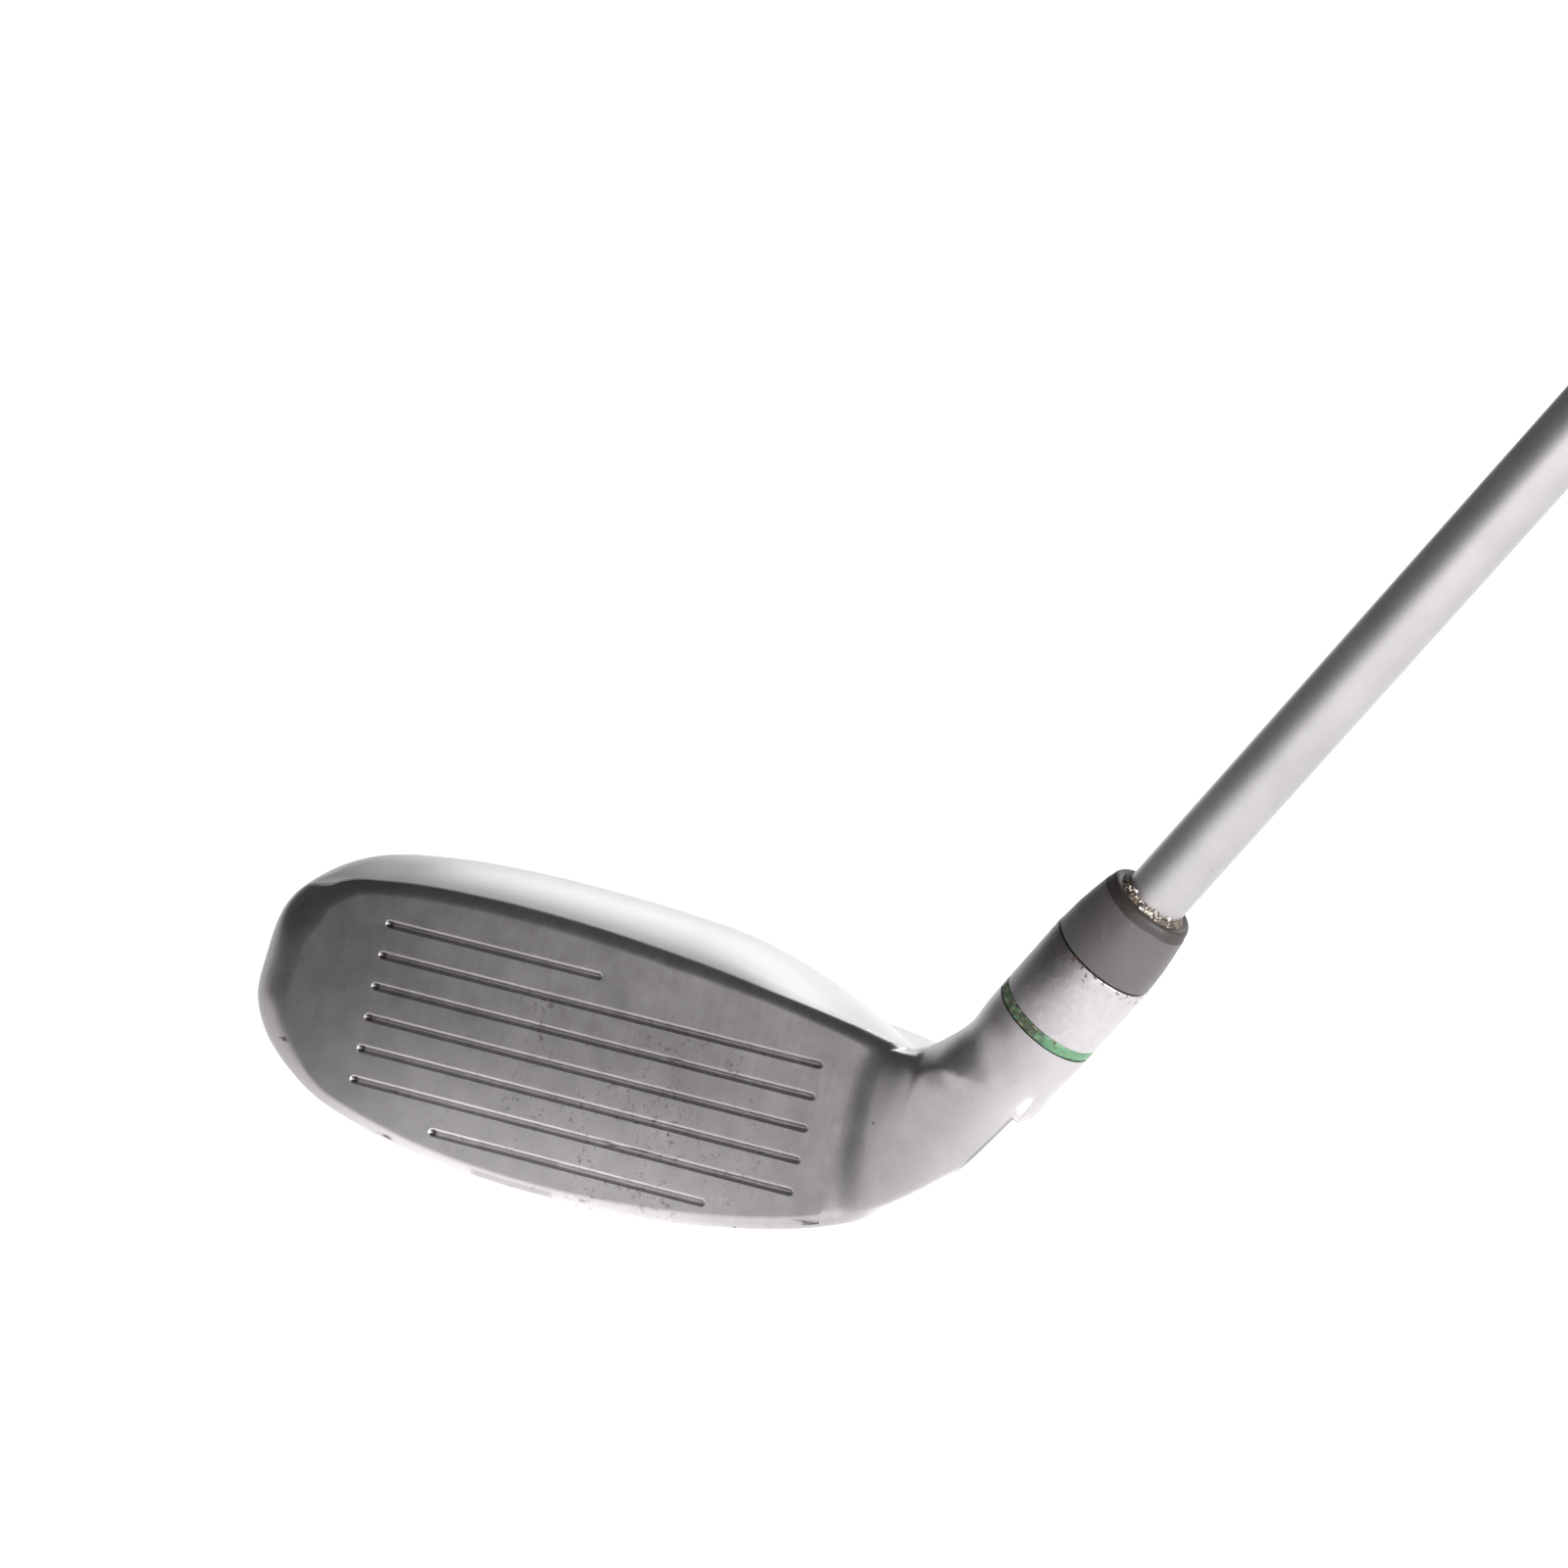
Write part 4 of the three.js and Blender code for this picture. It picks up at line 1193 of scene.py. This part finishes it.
def hosel_finish():
    finish = Finish("hosel_worn_steel", Metallic=1.0)
    colour, rough, grain, patch = blasted(finish)
    colour, rough, soil = marked(finish, colour, rough)
    up_shaft = finish.along(SHAFT_WAY, SHAFT_FOOT)
    mottle = finish.noise(1.1, 6, 0.72, seed=51)
    rub = finish.step(mottle, 0.44, 0.72)
    colour = finish.mix(rub * 0.28, colour, rgb(228, 222, 220))
    stain = finish.patches(0.55, 0.75, 1.5, 5, 0.72, seed=52)
    colour = finish.mix(stain * 0.25, colour, rgb(150, 128, 118))
    away = finish.along(OUTWARD, SHAFT_FOOT)
    # painted shade: the hosel's toe side darkened in its colour
    colour = finish.mix((1 - finish.step(away, -6.5, 0.5)) * 0.65, colour, rgb(74, 70, 74))
    # painted highlight: the hosel lighter on the side away from the toe
    colour = finish.mix(finish.step(away, -3, 6) * 0.42, colour, STEEL_PAINTED_LIT_SIDE)
    rust = finish.patches(0.52, 0.62, 0.8, 5, 0.7, seed=61) * finish.step(up_shaft, 59.2, 61.6)
    colour = finish.mix(rust * 0.8, colour, rgb(96, 66, 52))
    finish.paint(Base_Color=colour, Roughness=finish.least(rough + rust * 0.4 + rub * 0.06, 0.9))
    finish.relief(grain + 0.5 * mottle + rust, 0.012, 0.5)
    return finish.material


# %% Band, ferrule, glue and sand
def band_finish():
    finish = Finish("band_green_paint", Coat_Roughness=0.2)
    outward = finish.along(OUTWARD, SHAFT_FOOT)
    # the side away from the toe keeps more paint, with fewer chips, and is painted lighter green as a painted
    # highlight
    kept_paint_and_lit_side = finish.step(outward, -1.5, 3.5)
    chips = finish.step(finish.noise(0.8, 5, 0.7, seed=12) - 0.14 * kept_paint_and_lit_side, 0.42, 0.5)
    gold = finish.patches(0.5, 0.64, 0.5, 4, 0.6, seed=25)
    green = finish.mix(finish.noise(2.2, 4, 0.6, seed=33), rgb(44, 80, 56), rgb(92, 134, 100))
    # painted highlight: lighter green on the side away from the toe
    green = finish.mix(kept_paint_and_lit_side * 0.6, green, rgb(92, 136, 102))
    bare = finish.mix(gold, rgb(52, 50, 42), rgb(146, 136, 100))
    finish.paint(Base_Color=finish.mix(chips * 0.85, green, bare), Roughness=0.35 + 0.3 * chips)
    finish.relief(1 - chips, 0.05, 0.8)
    return finish.material


def ferrule_finish():
    finish = Finish("ferrule_dark_plastic")
    tone = finish.noise(6, 3, 0.5)
    scuff = finish.patches(0.6, 0.74, 1.3, 5, 0.7, finish.stretched((1, 1, 0.4)), seed=6)
    up_shaft = finish.along(SHAFT_WAY, SHAFT_FOOT)
    lip = finish.step(up_shaft, ferrule_high - 1.75, ferrule_high - 1.5)
    base = finish.mix(tone, rgb(74, 70, 71), rgb(88, 84, 85))
    # painted shade: the chamfered top lip darkened in the colour
    base = finish.mix(lip * 0.9, base, rgb(40, 34, 31))
    finish.paint(Base_Color=finish.mix(scuff * 0.3, base, rgb(150, 144, 140)),
                 Roughness=0.42 + 0.12 * scuff + 0.1 * lip)
    finish.relief(finish.noise(0.35, 3, 0.6, seed=2) + scuff * 0.3, 0.01, 0.5)
    return finish.material


def glue_finish():
    finish = Finish("old_epoxy")
    blotch = finish.noise(0.7, 5, 0.65)
    tan = finish.mix(finish.step(blotch, 0.4, 0.62), rgb(58, 48, 42), rgb(124, 112, 100))
    finish.paint(Base_Color=tan, Roughness=0.5 + 0.35 * blotch)
    finish.relief(blotch, 0.08, 0.9)
    return finish.material


def sand_finish():
    finish = Finish("sand_grain")
    pick = finish.noise(0.5, 1, 0.5, seed=4)
    pale = finish.mix(finish.step(pick, 0.42, 0.5), rgb(120, 96, 78), rgb(222, 214, 204))
    finish.paint(Base_Color=finish.mix(finish.step(pick, 0.56, 0.6), pale, rgb(240, 238, 234)),
                 Roughness=0.5 + 0.2 * pick)
    finish.relief(finish.noise(0.12, 3, seed=9), 0.03, 0.7)
    return finish.material


# %% Shaft, screw and plug
def plated_finish():
    finish = Finish("shaft_satin_plating", Metallic=1.0)
    haze = finish.noise(9, 4, 0.6)
    fine = finish.noise(1, 2, 0.6, finish.stretched((2.2, 2.2, 2.2)), seed=3)
    pits = finish.specks(3.2, 0.13, 0.3, 5)
    colour = finish.mix(haze, rgb(168, 165, 166), rgb(192, 189, 190))
    colour = finish.mix(pits * 0.6, colour, rgb(120, 96, 80))
    finish.paint(Base_Color=colour, Roughness=0.3 + 0.06 * haze + 0.04 * fine + 0.3 * pits)
    finish.relief(fine - pits, 0.004, 0.5)
    return finish.material


def metal_finish(name, dark, light, rough):
    finish = Finish(name, Metallic=1.0)
    patch = finish.noise(1.4, 5, 0.6)
    turning = finish.noise(0.2, 2, 0.5, seed=3)
    finish.paint(Base_Color=finish.mix(patch, dark, light), Roughness=rough + 0.15 * patch)
    finish.relief(turning, 0.01, 0.5)
    return finish.material


# %% Rubber, paper and melt glue
def rubber_finish(name, dark, light):
    finish = Finish(name, Specular_IOR_Level=0.35)
    dust = finish.patches(0.45, 0.75, 5, 5, 0.65)
    pores = finish.noise(0.35, 3, 0.6, seed=14)
    finish.paint(Base_Color=finish.mix(dust * 0.6, dark, light), Roughness=0.68 + 0.16 * pores)
    finish.relief(pores, 0.04, 0.6)
    return finish.material


def tape_finish():
    finish = Finish("crepe_tape")
    crepe = finish.noise(0.5, 4, 0.7, finish.stretched((0.6, 0.6, 2.5)))
    tone = finish.mix(crepe, rgb(188, 172, 138), rgb(226, 214, 186))
    finish.paint(Base_Color=tone, Roughness=0.75 + 0.1 * crepe)
    finish.relief(crepe, 0.12, 0.7)
    return finish.material


def melt_finish():
    finish = Finish("melt_glue")
    cloud = finish.noise(3, 4, 0.6)
    finish.paint(Base_Color=finish.mix(cloud, rgb(196, 168, 98), rgb(228, 208, 150)),
                 Roughness=0.28 + 0.2 * cloud)
    finish.relief(finish.noise(1.2, 3, 0.5, seed=3), 0.2, 0.5)
    return finish.material


# %% [markdown]
# ## Putting it together
# Every piece rides on the club's one body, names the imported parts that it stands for, and
# takes its finish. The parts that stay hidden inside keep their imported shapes.

# %% Pieces, slots and finishes
body_steel, hosel_steel, glue = body_finish(), hosel_finish(), glue_finish()
casting.name = "body_casting"
PIECES = [
    (casting, body_steel, "cast_steel", ["head_body"]), (hosel_top, hosel_steel, "cast_steel", []),
    (scored_face, face_finish(), "face_steel", ["face_plate"]),
    (crown_shell, crown_finish(), "crown_paint", ["crown"]),
    (screw, metal_finish("screw_steel", rgb(120, 118, 120), rgb(170, 168, 170), 0.3),
     "screw_steel", ["port_screw"]),
    (band, band_finish(), "band_green", ["hosel_band"]),
    (ferrule, ferrule_finish(), "ferrule_grey", ["ferrule"]),
    (bead, glue, "epoxy", []), (sand, sand_finish(), "epoxy", []),
    (shaft, plated_finish(), "shaft_steel", ["shaft"]),
    (grip, rubber_finish("grip_rubber", rgb(30, 30, 32), rgb(66, 64, 64)), "grip_rubber", ["grip"]),
    (cap, rubber_finish("cap_rubber", rgb(24, 24, 26), rgb(58, 57, 58)), "cap_rubber", ["grip_cap"]),
]
for piece, finish, slot, nodes in PIECES:
    piece.data.materials.clear()
    piece.data.materials.append(finish)
    shade(piece, 50 if piece is grip else 40)
    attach(piece, "root")
    if nodes:
        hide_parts(*nodes)
INNER = {"hosel_epoxy": glue,
         "tip_plug": metal_finish("plug_brass", rgb(150, 118, 60), rgb(196, 160, 92), 0.3),
         "grip_tape": tape_finish(), "hot_melt": melt_finish()}
for node, finish in INNER.items():
    packed = frame["nodes"][node]
    packed.data.materials.clear()
    packed.data.materials.append(finish)
discard(skin)
print("pieces:", ", ".join(p.name for p, *_ in PIECES), "and", ", ".join(INNER))

# %% [markdown]
# ## Camera, floor and light
# The club is seen a little from the heel side and from above, with the camera rolled so the
# head hangs lower at the left. The set is a plain pale floor that glows a little. One soft
# light stands low on the heel side, a weak one in front, and a wide one low behind. Nothing
# lights the toe side, which gives the steel its dark side; the hosel's dark toe side and pale
# heel side are also painted into its colour, as painted shade and painted highlight.

# %% Camera
AZIMUTH = math.radians(13.94)
ELEVATION = math.radians(19.4)
ROLL = math.radians(8.57)
DISTANCE = 0.598
AIM = Vector((0.019, 0, 0.0623))
LENS, SENSOR = 101.3, 36          # millimetres
back = Vector((math.sin(AZIMUTH) * math.cos(ELEVATION), -math.cos(AZIMUTH) * math.cos(ELEVATION),
               math.sin(ELEVATION)))
level = Vector((0, 0, 1)).cross(back).normalized()
rise = back.cross(level)
right = level * math.cos(ROLL) + rise * math.sin(ROLL)
up = rise * math.cos(ROLL) - level * math.sin(ROLL)
camera_data = bpy.data.cameras.new("camera")
camera_data.lens = LENS
camera_data.sensor_width = SENSOR
camera_data.clip_start = 0.01
camera = bpy.data.objects.new("camera", camera_data)
bpy.context.scene.collection.objects.link(camera)
stance = Matrix((right, up, back)).transposed().to_4x4()
stance.translation = AIM + back * DISTANCE
camera.matrix_world = stance
bpy.context.scene.camera = camera


# %% Floor and lights
def floor_finish():
    finish = Finish("pale_floor", Roughness=0.9, Specular_IOR_Level=0.1, Emission_Strength=0.85)
    cloud = finish.noise(400, 2)
    pale = finish.mix(cloud, rgb(248, 248, 248), rgb(252, 252, 252))
    finish.paint(Base_Color=pale, Emission_Color=pale)
    return finish.material


FLOOR_HALF = 5000
floor_corners = [(x * FLOOR_HALF, y * FLOOR_HALF, 0) for x, y in ((-1, -1), (1, -1), (1, 1), (-1, 1))]
floor = build("floor", floor_corners, [[0, 1, 2, 3]])
floor.data.materials.append(floor_finish())


def soft_light(name, place, target, width, height, power):
    data = bpy.data.lights.new(name, "AREA")
    data.shape = "RECTANGLE"
    data.size, data.size_y = width, height
    data.energy = power
    lamp = bpy.data.objects.new(name, data)
    bpy.context.scene.collection.objects.link(lamp)
    lamp.location = place
    lamp.rotation_euler = (Vector(target) - Vector(place)).to_track_quat("-Z", "Y").to_euler()


soft_light("heel_light", (1.25, -0.75, 0.2), (0.03, -0.01, 0.04), 0.9, 0.9, 34)
soft_light("front_light", (0.5, -1.9, 0.5), (0, 0, 0.02), 1.0, 0.9, 15)
soft_light("back_light", (0.5, 2.6, 0.65), (0, 0, 0.05), 3.2, 1.0, 36)
world = bpy.data.worlds.new("studio")
bpy.context.scene.world = world
world.use_nodes = True
sky = world.node_tree.nodes["Background"].inputs
sky["Color"].default_value = (1, 1, 1, 1)
sky["Strength"].default_value = 0.13
bpy.context.scene.view_settings.view_transform = "Standard"
print("camera at", tuple(round(v, 3) for v in camera.location))
